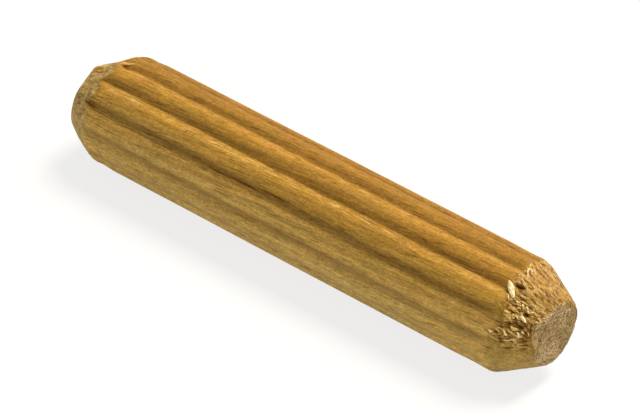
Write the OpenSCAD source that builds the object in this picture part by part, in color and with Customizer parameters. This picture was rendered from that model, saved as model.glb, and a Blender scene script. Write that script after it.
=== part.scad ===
// Fluted wooden dowel pin, lying on two neighbouring ridges.
// Millimetres. +X runs along the pin to its torn end, +Z is up, and the origin is
// on the surface that the pin lies on, under the middle of its length.

/* [Pin] */
// Diameter over the ridges
pin_d = 7.94; // [6:0.01:12]
// Length from end face to end face
pin_l = 38.1; // [24:0.1:80]

/* [Flutes] */
// Number of ridges pressed along the pin
ridge_count = 12; // [8:1:16]
// Depth of the grooves between the ridges
groove_deep = 0.28; // [0.16:0.01:0.4]

/* [Clean end] */
// Diameter of the clean end's face
clean_face_d = 5.08; // [4:0.01:5.4]
// Slope of the clean end's chamfer, measured from the pin's axis
clean_slope = 31; // [24:1:40]
// Radius of the pressed shoulder where the ridges run out into the chamfer
shoulder_r = 2.05; // [1:0.05:3]
// Height of the shoulder's top above the ridges
shoulder_over = 0.02; // [0.01:0.01:0.05]

/* [Torn end] */
// Diameter of the torn end's face
torn_face_d = 4.54; // [4:0.01:5.4]
// Slope of the torn end's chamfer, measured from the pin's axis
torn_slope = 31; // [24:1:40]
// Width of the widest tear
tear_wide = 1.1; // [0.6:0.05:1.6]
// Length of the longest tear, along the grain
tear_long = 1.5; // [0.8:0.05:2]
// Depth of the deepest tear below the chamfer
tear_deep = 0.34; // [0.2:0.01:0.5]
// Length of the longest splinter
splinter_long = 1.05; // [0.6:0.05:1.6]
// Width of the widest splinter
splinter_wide = 0.5; // [0.2:0.05:0.8]
// Height of a splinter's broken end above the chamfer
splinter_thick = 0.16; // [0.1:0.01:0.3]
// Depth of a splinter's broken end below the chamfer
splinter_root = 0.45; // [0.4:0.01:0.6]

/* [Hidden] */
$fn = 96;

pin_r = pin_d / 2;
half_l = pin_l / 2;

// Each ridge is a round lobe. Two lobes cross at the bottom of the groove between them.
half_step = 180 / ridge_count;
groove_r = pin_r - groove_deep;
lobe_at = (pin_r * pin_r - groove_r * groove_r)
    / (2 * (pin_r - groove_r * cos(half_step)));
lobe_r = pin_r - lobe_at;

// The pin lies on two ridges, with a groove straight down between them.
axis_z = lobe_at * cos(half_step) + lobe_r;

// The envelope that the ends are cut to stands this far outside the ridges.
over = 1;

// Clean end: the chamfer runs into the pressed shoulder with no edge between them.
clean_face_r = clean_face_d / 2;
shoulder_top_r = pin_r + shoulder_over;
rim_r = shoulder_top_r - shoulder_r * (1 - cos(clean_slope));
rim_at = (rim_r - clean_face_r) / tan(clean_slope);
shoulder_at = rim_at + shoulder_r * sin(clean_slope);

// Torn end: a plain chamfer, from which fibres are torn out.
torn_face_r = torn_face_d / 2;
torn_cone_l = (pin_r - torn_face_r) / tan(torn_slope);
torn_over_at = torn_cone_l + over / tan(torn_slope);

// Each tear: the angle round the axis from +Y to +Z, its middle as a share of the chamfer's
// length from the end face, then its length, width and depth as shares of the largest tear's.
TEARS = [
    [108, 0.81, 0.40, 0.40, 1.00],
    [129, 0.62, 0.80, 0.80, 0.60],
    [147, 0.48, 0.75, 0.55, 1.00],
    [165, 0.68, 1.00, 1.00, 0.70]
];

// Each splinter: its angle and middle as above, then its length and width as shares of
// the largest splinter's.
SPLINTERS = [
    [117, 0.90, 1.00, 1.00],
    [126, 0.58, 0.75, 0.55],
    [138, 0.52, 0.70, 0.45],
    [157, 0.66, 0.65, 0.60]
];

// Radius of the torn chamfer at a distance from its end face
function torn_r(from_end) = torn_face_r + from_end * tan(torn_slope);

// Section of the pin: round lobes on a core that fills them up
module ridged_section() {
    circle(r = lobe_at);
    for (i = [0 : ridge_count - 1])
        rotate(half_step * (2 * i + 1))
            translate([lobe_at, 0])
                circle(r = lobe_r);
}

// Half profile of both ends, with X as the radius and Y along the pin
module end_profile() {
    polygon([
        [0, -half_l],
        [clean_face_r, -half_l],
        [rim_r, rim_at - half_l],
        [rim_r, shoulder_at - half_l],
        [pin_r + over, shoulder_at - half_l],
        [pin_r + over, half_l - torn_over_at],
        [torn_face_r, half_l],
        [0, half_l]
    ]);
    intersection() {
        translate([shoulder_top_r - shoulder_r, shoulder_at - half_l])
            circle(r = shoulder_r);
        translate([clean_face_r, rim_at - half_l])
            square([pin_r, shoulder_at - rim_at]);
    }
}

// Ridged rod with both ends cut to shape, along Z
module pressed_rod() {
    intersection() {
        translate([0, 0, -half_l])
            linear_extrude(height = pin_l)
                ridged_section();
        rotate_extrude()
            end_profile();
    }
}

// Puts its children on the torn chamfer, with +X along the grain and +Y outwards
module on_torn_chamfer(angle, from_end) {
    rotate([angle, 0, 0])
        translate([half_l - from_end, torn_r(from_end), 0])
            children();
}

// Room of the fibres that are torn out: a slot with a round bottom along the grain
module tear(long, wide, deep) {
    translate([-long / 2, wide / 2 - deep, 0]) {
        rotate([0, 90, 0])
            cylinder(h = long, d = wide);
        translate([0, 0, -wide / 2])
            cube([long, over, wide]);
    }
}

// Sliver that lies down the chamfer, pointed at its root and thick at its broken end
module splinter(long, wide) {
    rotate([0, 0, -torn_slope])
        translate([0, 0, -wide / 2])
            linear_extrude(height = wide)
                polygon([
                    [-long / 2, 0],
                    [long / 2, -splinter_root],
                    [long / 2, splinter_thick]
                ]);
}

module dowel_pin() {
    color("peru")
        translate([0, 0, axis_z]) {
            difference() {
                rotate([0, 90, 0])
                    pressed_rod();
                for (t = TEARS)
                    on_torn_chamfer(t[0], t[1] * torn_cone_l)
                        tear(t[2] * tear_long, t[3] * tear_wide, t[4] * tear_deep);
            }
            for (s = SPLINTERS)
                on_torn_chamfer(s[0], s[1] * torn_cone_l)
                    splinter(s[2] * splinter_long, s[3] * splinter_wide);
        }
}

dowel_pin();
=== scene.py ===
"""Fluted wooden dowel pin: its fine form and finish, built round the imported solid.

The pin lies along X on two ridges. Its body is one closed mesh with pressed grooves, a clean
chamfer with its shoulder at -X, and a chamfer with torn fibres at +X. Loose chips, fibre loops
and one long splinter stand on the torn chamfer, and a lifted flake on the clean end's shoulder.
Sizes are in metres, apart from the lengths in tables and in small records such as Tear, Stain
and Sliver, which are in millimetres. An angle round the pin runs from +Y towards +Z.
"""
import logging
import math
from dataclasses import dataclass
from enum import Enum
from typing import Optional

import bmesh
import bpy
import numpy as np
from mathutils import Matrix, Vector


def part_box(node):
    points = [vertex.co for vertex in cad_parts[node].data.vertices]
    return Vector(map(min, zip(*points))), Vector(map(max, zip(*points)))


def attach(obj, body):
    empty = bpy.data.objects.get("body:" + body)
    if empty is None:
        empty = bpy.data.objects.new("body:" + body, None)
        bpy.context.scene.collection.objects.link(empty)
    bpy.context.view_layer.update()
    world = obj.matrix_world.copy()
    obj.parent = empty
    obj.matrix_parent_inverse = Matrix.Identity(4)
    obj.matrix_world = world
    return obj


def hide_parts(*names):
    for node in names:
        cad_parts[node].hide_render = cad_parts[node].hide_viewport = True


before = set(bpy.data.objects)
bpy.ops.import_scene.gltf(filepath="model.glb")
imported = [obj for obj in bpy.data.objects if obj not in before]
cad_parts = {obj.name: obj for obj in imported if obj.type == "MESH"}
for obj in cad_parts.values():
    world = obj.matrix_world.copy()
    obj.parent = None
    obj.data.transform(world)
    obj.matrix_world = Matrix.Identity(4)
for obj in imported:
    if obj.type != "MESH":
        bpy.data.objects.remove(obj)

LOG = logging.getLogger("dowel_pin")
MM = 0.001
NODE = "dowel_pin"
BODY = "root"
WHITE = (1.0, 1.0, 1.0)
SHARP = 30.0
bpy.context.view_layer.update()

Colour = tuple[float, float, float]
Knots = tuple[tuple[float, float], ...]
Range = tuple[float, float]
Value = "bpy.types.NodeSocket | float | tuple"


def smoothstep(low: float, high: float, value: np.ndarray) -> np.ndarray:
    """Ease from 0 at low to 1 at high."""
    t = np.clip((value - low) / (high - low), 0.0, 1.0)
    return t * t * (3.0 - 2.0 * t)


def fall(low: float, high: float, value: np.ndarray) -> np.ndarray:
    """Ease from 1 at low to 0 at high."""
    return 1.0 - smoothstep(low, high, value)


def bump(centre: float, half_width: float, value: np.ndarray) -> np.ndarray:
    """Round hill of height 1 at centre that ends half_width away."""
    return fall(0.0, half_width, np.abs(value - centre))


def turn_gap(angle: np.ndarray, centre: float) -> np.ndarray:
    """Signed difference of two angles, from -180 to 180 degrees."""
    return (angle - centre + 180.0) % 360.0 - 180.0


def arc(start: float, stop: float, soft: float, angle: np.ndarray) -> np.ndarray:
    """Weight that is 1 between two angles and eases to 0 outside them.

    Args:
        start: First angle in degrees.
        stop: Last angle in degrees.
        soft: Width of the ease at each side, in degrees.
        angle: Angles in degrees.

    Returns:
        Array of weights from 0 to 1.
    """
    middle = (start + stop) / 2.0
    half = (stop - start) / 2.0
    return fall(half, half + soft, np.abs(turn_gap(angle, middle)))


def soft_min(a: np.ndarray, b: np.ndarray, width: float) -> np.ndarray:
    """Lower of two heights, with the edge between them rounded.

    Args:
        a: First height.
        b: Second height.
        width: Size of the rounding.

    Returns:
        The rounded lower height, never above either one.
    """
    gap = np.clip(np.abs(a - b) / width, 0.0, SHARP)
    return np.minimum(a, b) - width * np.log1p(np.exp(-gap))


class LatticeNoise:
    """Smooth random field on a lattice that closes on itself round the pin."""

    def __init__(self, seed: int, turns: int, cell: float, rows: int = 64) -> None:
        """Draw the lattice.

        Args:
            seed: Seed of the random values.
            turns: Number of lattice cells once round the pin.
            cell: Length of one cell along the pin.
            rows: Number of lattice cells along the pin before it repeats.
        """
        draw = np.random.default_rng(seed)
        self.cell = cell
        self.values = draw.uniform(-1.0, 1.0, (turns, rows))

    def at(self, degrees: np.ndarray, along: np.ndarray) -> np.ndarray:
        """Read the field.

        Args:
            degrees: Angles round the pin.
            along: Positions along the pin.

        Returns:
            Values from -1 to 1.
        """
        turns, rows = self.values.shape
        u = (degrees / 360.0 % 1.0) * turns
        v = along / self.cell
        u0 = np.floor(u).astype(int)
        v0 = np.floor(v).astype(int)
        fu = smoothstep(0.0, 1.0, u - u0)
        fv = smoothstep(0.0, 1.0, v - v0)
        a = self.values[u0 % turns, v0 % rows]
        b = self.values[(u0 + 1) % turns, v0 % rows]
        c = self.values[u0 % turns, (v0 + 1) % rows]
        d = self.values[(u0 + 1) % turns, (v0 + 1) % rows]
        return (a * (1 - fu) + b * fu) * (1 - fv) + (c * (1 - fu) + d * fu) * fv


class End(Enum):
    """The two ends of the pin, by the side of the origin that they are on."""

    CLEAN = -1
    TORN = 1


@dataclass
class PinForm:
    """Driving sizes of the pin and the smooth heights of its surface."""

    radius: float = 3.97 * MM
    ridge_count: int = 12
    groove_deep: float = 0.28 * MM
    clean_face_r: float = 2.54 * MM
    clean_slope: float = math.radians(31.0)
    shoulder_r: float = 2.05 * MM
    shoulder_over: float = 0.02 * MM
    torn_face_r: float = 2.27 * MM
    torn_slope: float = math.radians(31.0)
    valley_round: float = 0.018 * MM
    half_l: float = 0.0
    axis_z: float = 0.0

    def __post_init__(self) -> None:
        """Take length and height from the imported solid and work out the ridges."""
        low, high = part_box(NODE)
        self.half_l = (high.x - low.x) / 2.0
        self.axis_z = (high.z + low.z) / 2.0
        self.half_step = math.pi / self.ridge_count
        groove_r = self.radius - self.groove_deep
        self.lobe_at = (self.radius**2 - groove_r**2) / (
            2.0 * (self.radius - groove_r * math.cos(self.half_step))
        )
        self.lobe_r = self.radius - self.lobe_at
        top = self.radius + self.shoulder_over
        self.rim_r = top - self.shoulder_r * (1.0 - math.cos(self.clean_slope))
        self.rim_at = (self.rim_r - self.clean_face_r) / math.tan(self.clean_slope)
        self.shoulder_at = self.rim_at + self.shoulder_r * math.sin(self.clean_slope)

    def valley_gap(self, degrees: np.ndarray) -> np.ndarray:
        """Signed angle to the nearest groove's bottom line, in degrees."""
        step = 360.0 / self.ridge_count
        return (degrees + 90.0 + step / 2.0) % step - step / 2.0

    def lobe(self, off: np.ndarray) -> np.ndarray:
        """Radius of a ridge's round face, at angles in radians from its crest."""
        side = np.clip(self.lobe_r**2 - (self.lobe_at * np.sin(off)) ** 2, 0.0, None)
        return self.lobe_at * np.cos(off) + np.sqrt(side)

    def ridged(self, degrees: np.ndarray) -> np.ndarray:
        """Radius of the ridged shank, with a small round at the bottom of each groove.

        Args:
            degrees: Angles round the pin.

        Returns:
            Distance of the surface from the pin's axis.
        """
        past_valley = np.radians(np.abs(self.valley_gap(degrees)))
        near = self.lobe(self.half_step - past_valley)
        far = self.lobe(self.half_step + past_valley)
        gap = np.clip((near - far) / self.valley_round, 0.0, SHARP)
        return near + self.valley_round * np.log1p(np.exp(-gap))

    def clean_end(self, from_end: np.ndarray) -> np.ndarray:
        """Radius of the clean end's chamfer and pressed shoulder.

        Args:
            from_end: Distance from the clean end's face.

        Returns:
            Distance of the surface from the pin's axis.
        """
        cone = self.clean_face_r + from_end * math.tan(self.clean_slope)
        back = np.clip(self.shoulder_at - from_end, 0.0, self.shoulder_r)
        top = self.radius + self.shoulder_over
        shoulder = top - self.shoulder_r + np.sqrt(self.shoulder_r**2 - back**2)
        past = from_end >= self.shoulder_at
        rounded = np.where(past, self.radius * 2.0, shoulder)
        return np.where(from_end < self.rim_at, cone, rounded)

    def torn_end(self, share: np.ndarray, face_r: np.ndarray) -> np.ndarray:
        """Radius of the torn chamfer before its fibres are torn out, by the share of its length."""
        return face_r + share * (self.radius - face_r)

    def point(self, degrees: float, x: float, r: float) -> np.ndarray:
        """Point at an angle round the pin, a place along it and a distance from its axis."""
        turn = math.radians(degrees)
        return np.array([x, r * math.cos(turn), self.axis_z + r * math.sin(turn)])


@dataclass(frozen=True)
class Tear:
    """A place where fibres have come out of the surface near an end.

    Angles are in degrees and lengths in millimetres. The lean is in degrees for a millimetre.
    """

    end: End
    angle: float
    from_face: float
    half_turn: float
    half_long: float
    deep: float
    lean: float = 0.0
    wall: Range = (0.45, 1.0)

    def share(self, degrees: np.ndarray, from_face: np.ndarray) -> np.ndarray:
        """How far into the tear each place is.

        Args:
            degrees: Angles round the pin.
            from_face: Distances from this end's face.

        Returns:
            Array of weights, 1 at the tear's floor and 0 outside it.
        """
        past = from_face - self.from_face * MM
        across = turn_gap(degrees, self.angle + self.lean * past / MM) / self.half_turn
        along = past / (self.half_long * MM)
        return fall(*self.wall, np.hypot(across, along))


@dataclass(frozen=True)
class Swell:
    """A round rise or dip in a size that changes round the pin, with angles in degrees."""

    angle: float
    half_turn: float
    height: float

    def at(self, degrees: np.ndarray) -> np.ndarray:
        """Height of the swell at each angle."""
        return self.height * bump(0.0, self.half_turn, turn_gap(degrees, self.angle))


@dataclass(frozen=True)
class GrooveBand:
    """A band that runs beside every groove, by its middle and width in degrees."""

    middle: float
    width: float

    def at(self, gap: np.ndarray) -> np.ndarray:
        """Weight of the band at each angle from the groove's bottom line."""
        return np.exp(-(((gap - self.middle) / self.width) ** 2))


@dataclass
class PinSurface:
    """The worn and torn surface of the pin, as a radius at every angle and place."""

    form: PinForm
    edge_round: float = 0.03 * MM
    groove_uneven: float = 0.008 * MM
    groove_wander: float = 0.25
    worn: float = 0.012 * MM
    rough_arc: Range = (122.0, 178.0)
    cut_arc: Range = (42.0, 122.0)
    dull_arc: Range = (103.0, 125.0)
    chip_sink: float = 0.10 * MM
    chip_relief: float = 0.085 * MM
    cut_relief: float = 0.040 * MM
    plain_relief: float = 0.012 * MM
    face_bulge: float = 0.03 * MM
    clean_askew: float = 0.21 * MM
    askew_way: float = 227.0
    shoulder_worn: float = 0.06 * MM
    groove_shifts: Knots = (
        (30.0, 0.0), (60.0, 3.2), (90.0, 2.6), (120.0, 0.0), (150.0, 1.0), (180.0, 0.0),
    )
    fade_long: float = 4.0 * MM
    clean_shoulder: Range = (3.0 * MM, 1.1 * MM)
    torn_shoulder: Range = (4.2 * MM, 1.6 * MM)
    torn_shoulder_share: float = 0.6
    askew_fades: Range = (0.6 * MM, 2.8 * MM)
    corner_fades: Range = (0.2 * MM, 1.8 * MM)
    corners: tuple[Swell, ...] = (Swell(97.0, 15.0, 0.15 * MM), Swell(127.0, 22.0, -0.09 * MM))
    face_swells: tuple[Swell, ...] = (Swell(40.0, 60.0, 0.10 * MM), Swell(230.0, 45.0, -0.11 * MM))
    face_uneven: float = 0.035 * MM
    rim_breaks: tuple[Swell, ...] = (Swell(150.0, 34.0, 0.24 * MM), Swell(232.0, 50.0, 0.12 * MM))
    rim_uneven: float = 0.03 * MM
    rim_apart: float = 1.0 * MM
    length_uneven: float = 0.04
    reach_uneven: float = 0.10
    chamfer_fades: Range = (0.95, 1.08)
    reach_fades: Range = (0.93, 1.05)
    start_ease: float = 0.20 * MM
    rough_soft: float = 5.0
    cut_soft: float = 8.0
    cut_mix: Range = (0.7, 0.4)
    rough_mix: Range = (0.7, 0.6)
    block_share: float = 0.8
    tear_smooths: float = 0.5
    tear_keeps: float = 0.4
    cone_mix: Range = (1.2, 0.8)
    cone_ends: float = 1.1
    deep_tear: float = 0.20 * MM
    chamfer_longs: Knots = (
        (10.0, 2.90), (48.0, 3.02), (75.0, 2.90), (92.0, 2.84), (108.0, 2.80), (125.0, 2.62),
        (140.0, 2.44), (150.0, 2.38), (162.0, 2.60), (180.0, 2.66), (200.0, 2.70), (228.0, 2.84),
        (280.0, 2.90),
    )
    rough_longs: Knots = (
        (120.0, 2.40), (126.0, 2.50), (133.0, 2.30), (141.0, 2.20), (149.0, 2.00), (155.0, 2.25),
        (161.0, 2.60), (165.0, 2.40), (171.0, 2.05), (178.0, 1.85),
    )
    rough_starts: Knots = (
        (122.0, 0.95), (127.0, 0.70), (134.0, 0.45), (150.0, 0.36), (178.0, 0.36),
    )
    tears: tuple[Tear, ...] = (
        Tear(End.TORN, 109.4, 2.30, 3.9, 0.42, 0.32, 7.0),
        Tear(End.TORN, 91.0, 2.34, 1.8, 0.14, 0.12),
        Tear(End.TORN, 94.0, 2.66, 1.6, 0.12, 0.10, 4.0),
        Tear(End.TORN, 101.4, 2.32, 0.7, 0.16, 0.10),
        Tear(End.TORN, 101.2, 2.02, 0.8, 0.14, 0.08),
        Tear(End.TORN, 105.2, 1.36, 1.0, 0.18, 0.12, -3.0),
        Tear(End.TORN, 80.6, 0.66, 1.3, 0.24, 0.10),
        Tear(End.TORN, 85.8, 0.60, 1.0, 0.10, 0.07),
        Tear(End.TORN, 148.2, 1.70, 2.0, 0.34, 0.15, 3.0),
        Tear(End.TORN, 147.4, 1.26, 2.3, 0.42, 0.26, -7.0),
        Tear(End.TORN, 132.4, 1.16, 2.1, 0.26, 0.18, -4.0),
        Tear(End.TORN, 130.6, 1.76, 1.0, 0.40, 0.11, 2.0),
        Tear(End.TORN, 136.9, 1.92, 0.9, 0.44, 0.11),
        Tear(End.TORN, 162.2, 2.30, 1.8, 0.20, 0.17),
        Tear(End.TORN, 151.0, 2.14, 1.0, 0.12, 0.09),
        Tear(End.TORN, 160.3, 1.50, 1.3, 0.20, 0.12),
        Tear(End.TORN, 170.4, 1.32, 1.8, 0.28, 0.17),
        Tear(End.TORN, 164.5, 0.76, 8.0, 0.28, 0.10),
        Tear(End.TORN, 155.0, 1.08, 0.9, 0.14, 0.10),
        Tear(End.TORN, 172.6, 1.85, 2.4, 0.30, 0.09),
        Tear(End.CLEAN, 102.0, 0.50, 1.6, 0.50, 0.05),
        Tear(End.CLEAN, 106.5, 1.45, 0.9, 0.22, 0.05),
        Tear(End.CLEAN, 133.0, 0.35, 0.8, 0.35, 0.03),
        Tear(End.CLEAN, 141.2, 1.95, 0.9, 0.40, 0.05),
        Tear(End.CLEAN, 148.0, 1.85, 1.8, 0.70, 0.07),
        Tear(End.CLEAN, 94.8, 2.60, 2.4, 0.42, 0.08),
        Tear(End.CLEAN, 83.0, 2.62, 1.8, 0.16, 0.06),
    )

    def __post_init__(self) -> None:
        """Draw the random fields of the surface."""
        self.slow = LatticeNoise(seed=3, turns=36, cell=4.2 * MM)
        self.wander = LatticeNoise(seed=5, turns=self.form.ridge_count, cell=9.0 * MM)
        self.strokes = LatticeNoise(seed=7, turns=150, cell=0.30 * MM)
        self.chips = LatticeNoise(seed=8, turns=84, cell=0.42 * MM)
        self.blocks = LatticeNoise(seed=9, turns=34, cell=0.75 * MM)
        self.rim = LatticeNoise(seed=10, turns=40, cell=1.0 * MM)
        self.ragged = LatticeNoise(seed=12, turns=110, cell=1.0 * MM)

    @staticmethod
    def stepped(table: Knots, degrees: np.ndarray) -> np.ndarray:
        """Read a value that changes round the pin.

        Args:
            table: Angles and the values there.
            degrees: Angles to read at.

        Returns:
            Values in between, with the last one running on into the first.
        """
        turns, values = zip(*table)
        return np.interp(degrees % 360.0, turns, values, period=360.0)

    def grooved(self, degrees: np.ndarray, x: np.ndarray) -> np.ndarray:
        """Angle of each place counted from the grooves as they were really pressed.

        Args:
            degrees: Angles round the pin.
            x: Places along the pin.

        Returns:
            Angles at which the even form has the same part of a ridge.
        """
        wander = self.groove_wander * self.wander.at(degrees, x) * self.end_fade(x)
        return degrees + wander - self.stepped(self.groove_shifts, degrees)

    def end_fade(self, x: np.ndarray) -> np.ndarray:
        """Weight that is 0 at both ends of the pin and 1 between them."""
        return smoothstep(0.0, self.fade_long, self.form.half_l - np.abs(x))

    def from_face(self, end: End, x: np.ndarray) -> np.ndarray:
        """Distance from one end's face towards the middle of the pin."""
        return self.form.half_l - end.value * x

    def tear_share(self, degrees: np.ndarray, x: np.ndarray) -> np.ndarray:
        """Deepest tear at each place.

        Args:
            degrees: Angles round the pin.
            x: Places along the pin.

        Returns:
            Array of weights, 1 on the floor of a deep tear.
        """
        shares = [
            min(tear.deep * MM / self.deep_tear, 1.0)
            * tear.share(degrees, self.from_face(tear.end, x))
            for tear in self.tears
        ]
        return np.maximum.reduce(shares)

    def on_chamfer(self, degrees: np.ndarray, from_face: np.ndarray) -> np.ndarray:
        """Weight that is 1 on the torn chamfer and 0 on the shank."""
        return fall(*self.chamfer_fades, from_face / self.torn_length(degrees))

    def relief(self, degrees: np.ndarray, x: np.ndarray) -> np.ndarray:
        """Depth of the torn surface below the smooth chamfer.

        Args:
            degrees: Angles round the pin.
            x: Places along the pin.

        Returns:
            Array of depths, never below 0.
        """
        torn = self.from_face(End.TORN, x)
        rough = self.roughness(degrees, torn)
        cut = arc(*self.cut_arc, self.cut_soft, degrees) * (1.0 - rough)
        strokes = self.strokes.at(degrees, torn)
        chips = self.chips.at(degrees, torn)
        blocks = self.blocks.at(degrees, torn)
        depth = self.plain_relief * (1.0 + strokes)
        by_stroke, by_chip = self.cut_mix
        depth += cut * self.cut_relief * (1.0 + by_stroke * strokes + by_chip * chips)
        sunk = self.chip_sink * (1.0 + self.block_share * blocks)
        by_chip, by_stroke = self.rough_mix
        depth += rough * (sunk + self.chip_relief * (by_chip * chips + by_stroke * strokes))
        depth *= self.on_chamfer(degrees, torn)
        for tear in self.tears:
            share = tear.share(degrees, self.from_face(tear.end, x))
            kept = depth * (1.0 - self.tear_smooths * share)
            depth = np.maximum(kept, tear.deep * MM * share + self.tear_keeps * depth)
        clean = self.from_face(End.CLEAN, x)
        on_cone = fall(self.form.rim_at, self.form.rim_at * self.cone_ends, clean)
        start, by_chip = self.cone_mix
        depth += on_cone * self.plain_relief * (start + strokes + by_chip * chips)
        return np.clip(depth, 0.0, None)

    def torn_face_radius(self, degrees: np.ndarray) -> np.ndarray:
        """Radius of the torn end's face, which isn't quite round.

        Args:
            degrees: Angles round the pin.

        Returns:
            Distance of the face's rim from the pin's axis.
        """
        r = self.form.torn_face_r
        for swell in self.face_swells:
            r = r + swell.at(degrees)
        return r + self.face_uneven * self.rim.at(degrees, np.zeros(1))

    def torn_length(self, degrees: np.ndarray) -> np.ndarray:
        """Length of the torn chamfer, which is askew and has broken off short in front."""
        ragged = self.length_uneven * self.ragged.at(degrees, np.zeros(1))
        return (self.stepped(self.chamfer_longs, degrees) + ragged) * MM

    def roughness(self, degrees: np.ndarray, from_face: np.ndarray) -> np.ndarray:
        """Weight that is 1 where the fibres were torn out short.

        Args:
            degrees: Angles round the pin.
            from_face: Distances from the torn face.

        Returns:
            Array of weights from 0 to 1.
        """
        ragged = self.reach_uneven * self.ragged.at(degrees, np.zeros(1))
        reach = (self.stepped(self.rough_longs, degrees) + ragged) * MM
        start = self.stepped(self.rough_starts, degrees) * MM
        inside = smoothstep(-self.start_ease, self.start_ease, from_face - start)
        inside = inside * fall(*self.reach_fades, from_face / reach)
        return arc(*self.rough_arc, self.rough_soft, degrees) * inside

    def setback(self, degrees: np.ndarray) -> np.ndarray:
        """How far the torn face's rim stands behind its middle.

        Args:
            degrees: Angles round the pin.

        Returns:
            Array of distances along the pin.
        """
        broken = sum(swell.at(degrees) for swell in self.rim_breaks)
        uneven = self.rim.at(degrees, np.ones(1) * self.rim_apart)
        return self.face_bulge + broken + self.rim_uneven * uneven

    def radius(self, degrees: np.ndarray, x: np.ndarray) -> np.ndarray:
        """Distance of the finished surface from the pin's axis.

        Args:
            degrees: Angles round the pin.
            x: Places along the pin.

        Returns:
            Array of distances.
        """
        form = self.form
        torn = self.from_face(End.TORN, x)
        clean = self.from_face(End.CLEAN, x)
        r = form.ridged(self.grooved(degrees, x))
        r = r - self.worn - self.groove_uneven * self.slow.at(degrees, x) * self.end_fade(x)
        r = r - self.shoulder_worn * bump(*self.clean_shoulder, clean)
        r = r - self.torn_shoulder_share * self.shoulder_worn * bump(*self.torn_shoulder, torn)
        askew = self.clean_askew * np.cos(np.radians(degrees - self.askew_way))
        askew = askew * fall(*self.askew_fades, clean)
        corner = sum(swell.at(degrees) for swell in self.corners)
        askew = askew + corner * fall(*self.corner_fades, clean)
        r = soft_min(r, form.clean_end(clean) + askew, self.edge_round / 2.0)
        along = torn / self.torn_length(degrees)
        cone = form.torn_end(along, self.torn_face_radius(degrees))
        r = soft_min(r, cone, self.edge_round)
        return r - self.relief(degrees, x)

    def above(self, degrees: float, from_face: float, lift: float) -> np.ndarray:
        """Find a point on the torn end as it was before its fibres came out.

        Args:
            degrees: Angle round the pin.
            from_face: Distance from the torn face.
            lift: Height above the old surface.

        Returns:
            The point as an array of three numbers.
        """
        x = self.form.half_l - from_face
        turn, place = np.array([degrees]), np.array([x])
        along = from_face / self.torn_length(turn)
        cone = self.form.torn_end(along, self.torn_face_radius(turn))
        r = np.minimum(cone, self.form.ridged(self.grooved(turn, place)))
        return self.form.point(degrees, x, float(r[0]) + lift)

    def lie(self, degrees: float, from_face: float, lift: float = 0.0) -> np.ndarray:
        """Find a point on the torn end's surface.

        Args:
            degrees: Angle round the pin.
            from_face: Distance from the torn face.
            lift: Height above the surface.

        Returns:
            The point as an array of three numbers.
        """
        x = self.form.half_l - from_face
        return self.form.point(degrees, x, self.radius_at(degrees, x) + lift)

    def radius_at(self, degrees: float, x: float) -> float:
        """Distance of the finished surface from the axis at one place."""
        return float(self.radius(np.array([degrees]), np.array([x]))[0])


@dataclass(frozen=True)
class Stain:
    """A streak of another tone in the wood, long in the direction of the fibres.

    Angles are in degrees and lengths in millimetres.
    """

    angle: float
    x: float
    half_turn: float
    half_long: float
    strength: float
    edge: Range = (0.2, 1.0)

    def share(self, degrees: np.ndarray, x: np.ndarray) -> np.ndarray:
        """How strong the streak is at each place.

        Args:
            degrees: Angles round the pin.
            x: Places along the pin.

        Returns:
            Array of weights from 0 to the streak's strength.
        """
        across = turn_gap(degrees, self.angle) / self.half_turn
        along = (x - self.x * MM) / (self.half_long * MM)
        return self.strength * fall(*self.edge, np.hypot(across, along))


@dataclass(frozen=True)
class FacePatch:
    """A round patch of the torn end's face that is paler or darker, in millimetres."""

    y: float
    z: float
    reach: float
    strength: float
    edge: Range = (0.35, 1.0)

    def share(self, y: np.ndarray, z: np.ndarray) -> np.ndarray:
        """How strong the patch is at each place.

        Args:
            y: Places across the pin.
            z: Heights above the pin's axis.

        Returns:
            Array of weights from 0 to the patch's strength.
        """
        past = np.hypot(y - self.y * MM, z - self.z * MM) / (self.reach * MM)
        return self.strength * fall(*self.edge, past)


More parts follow.
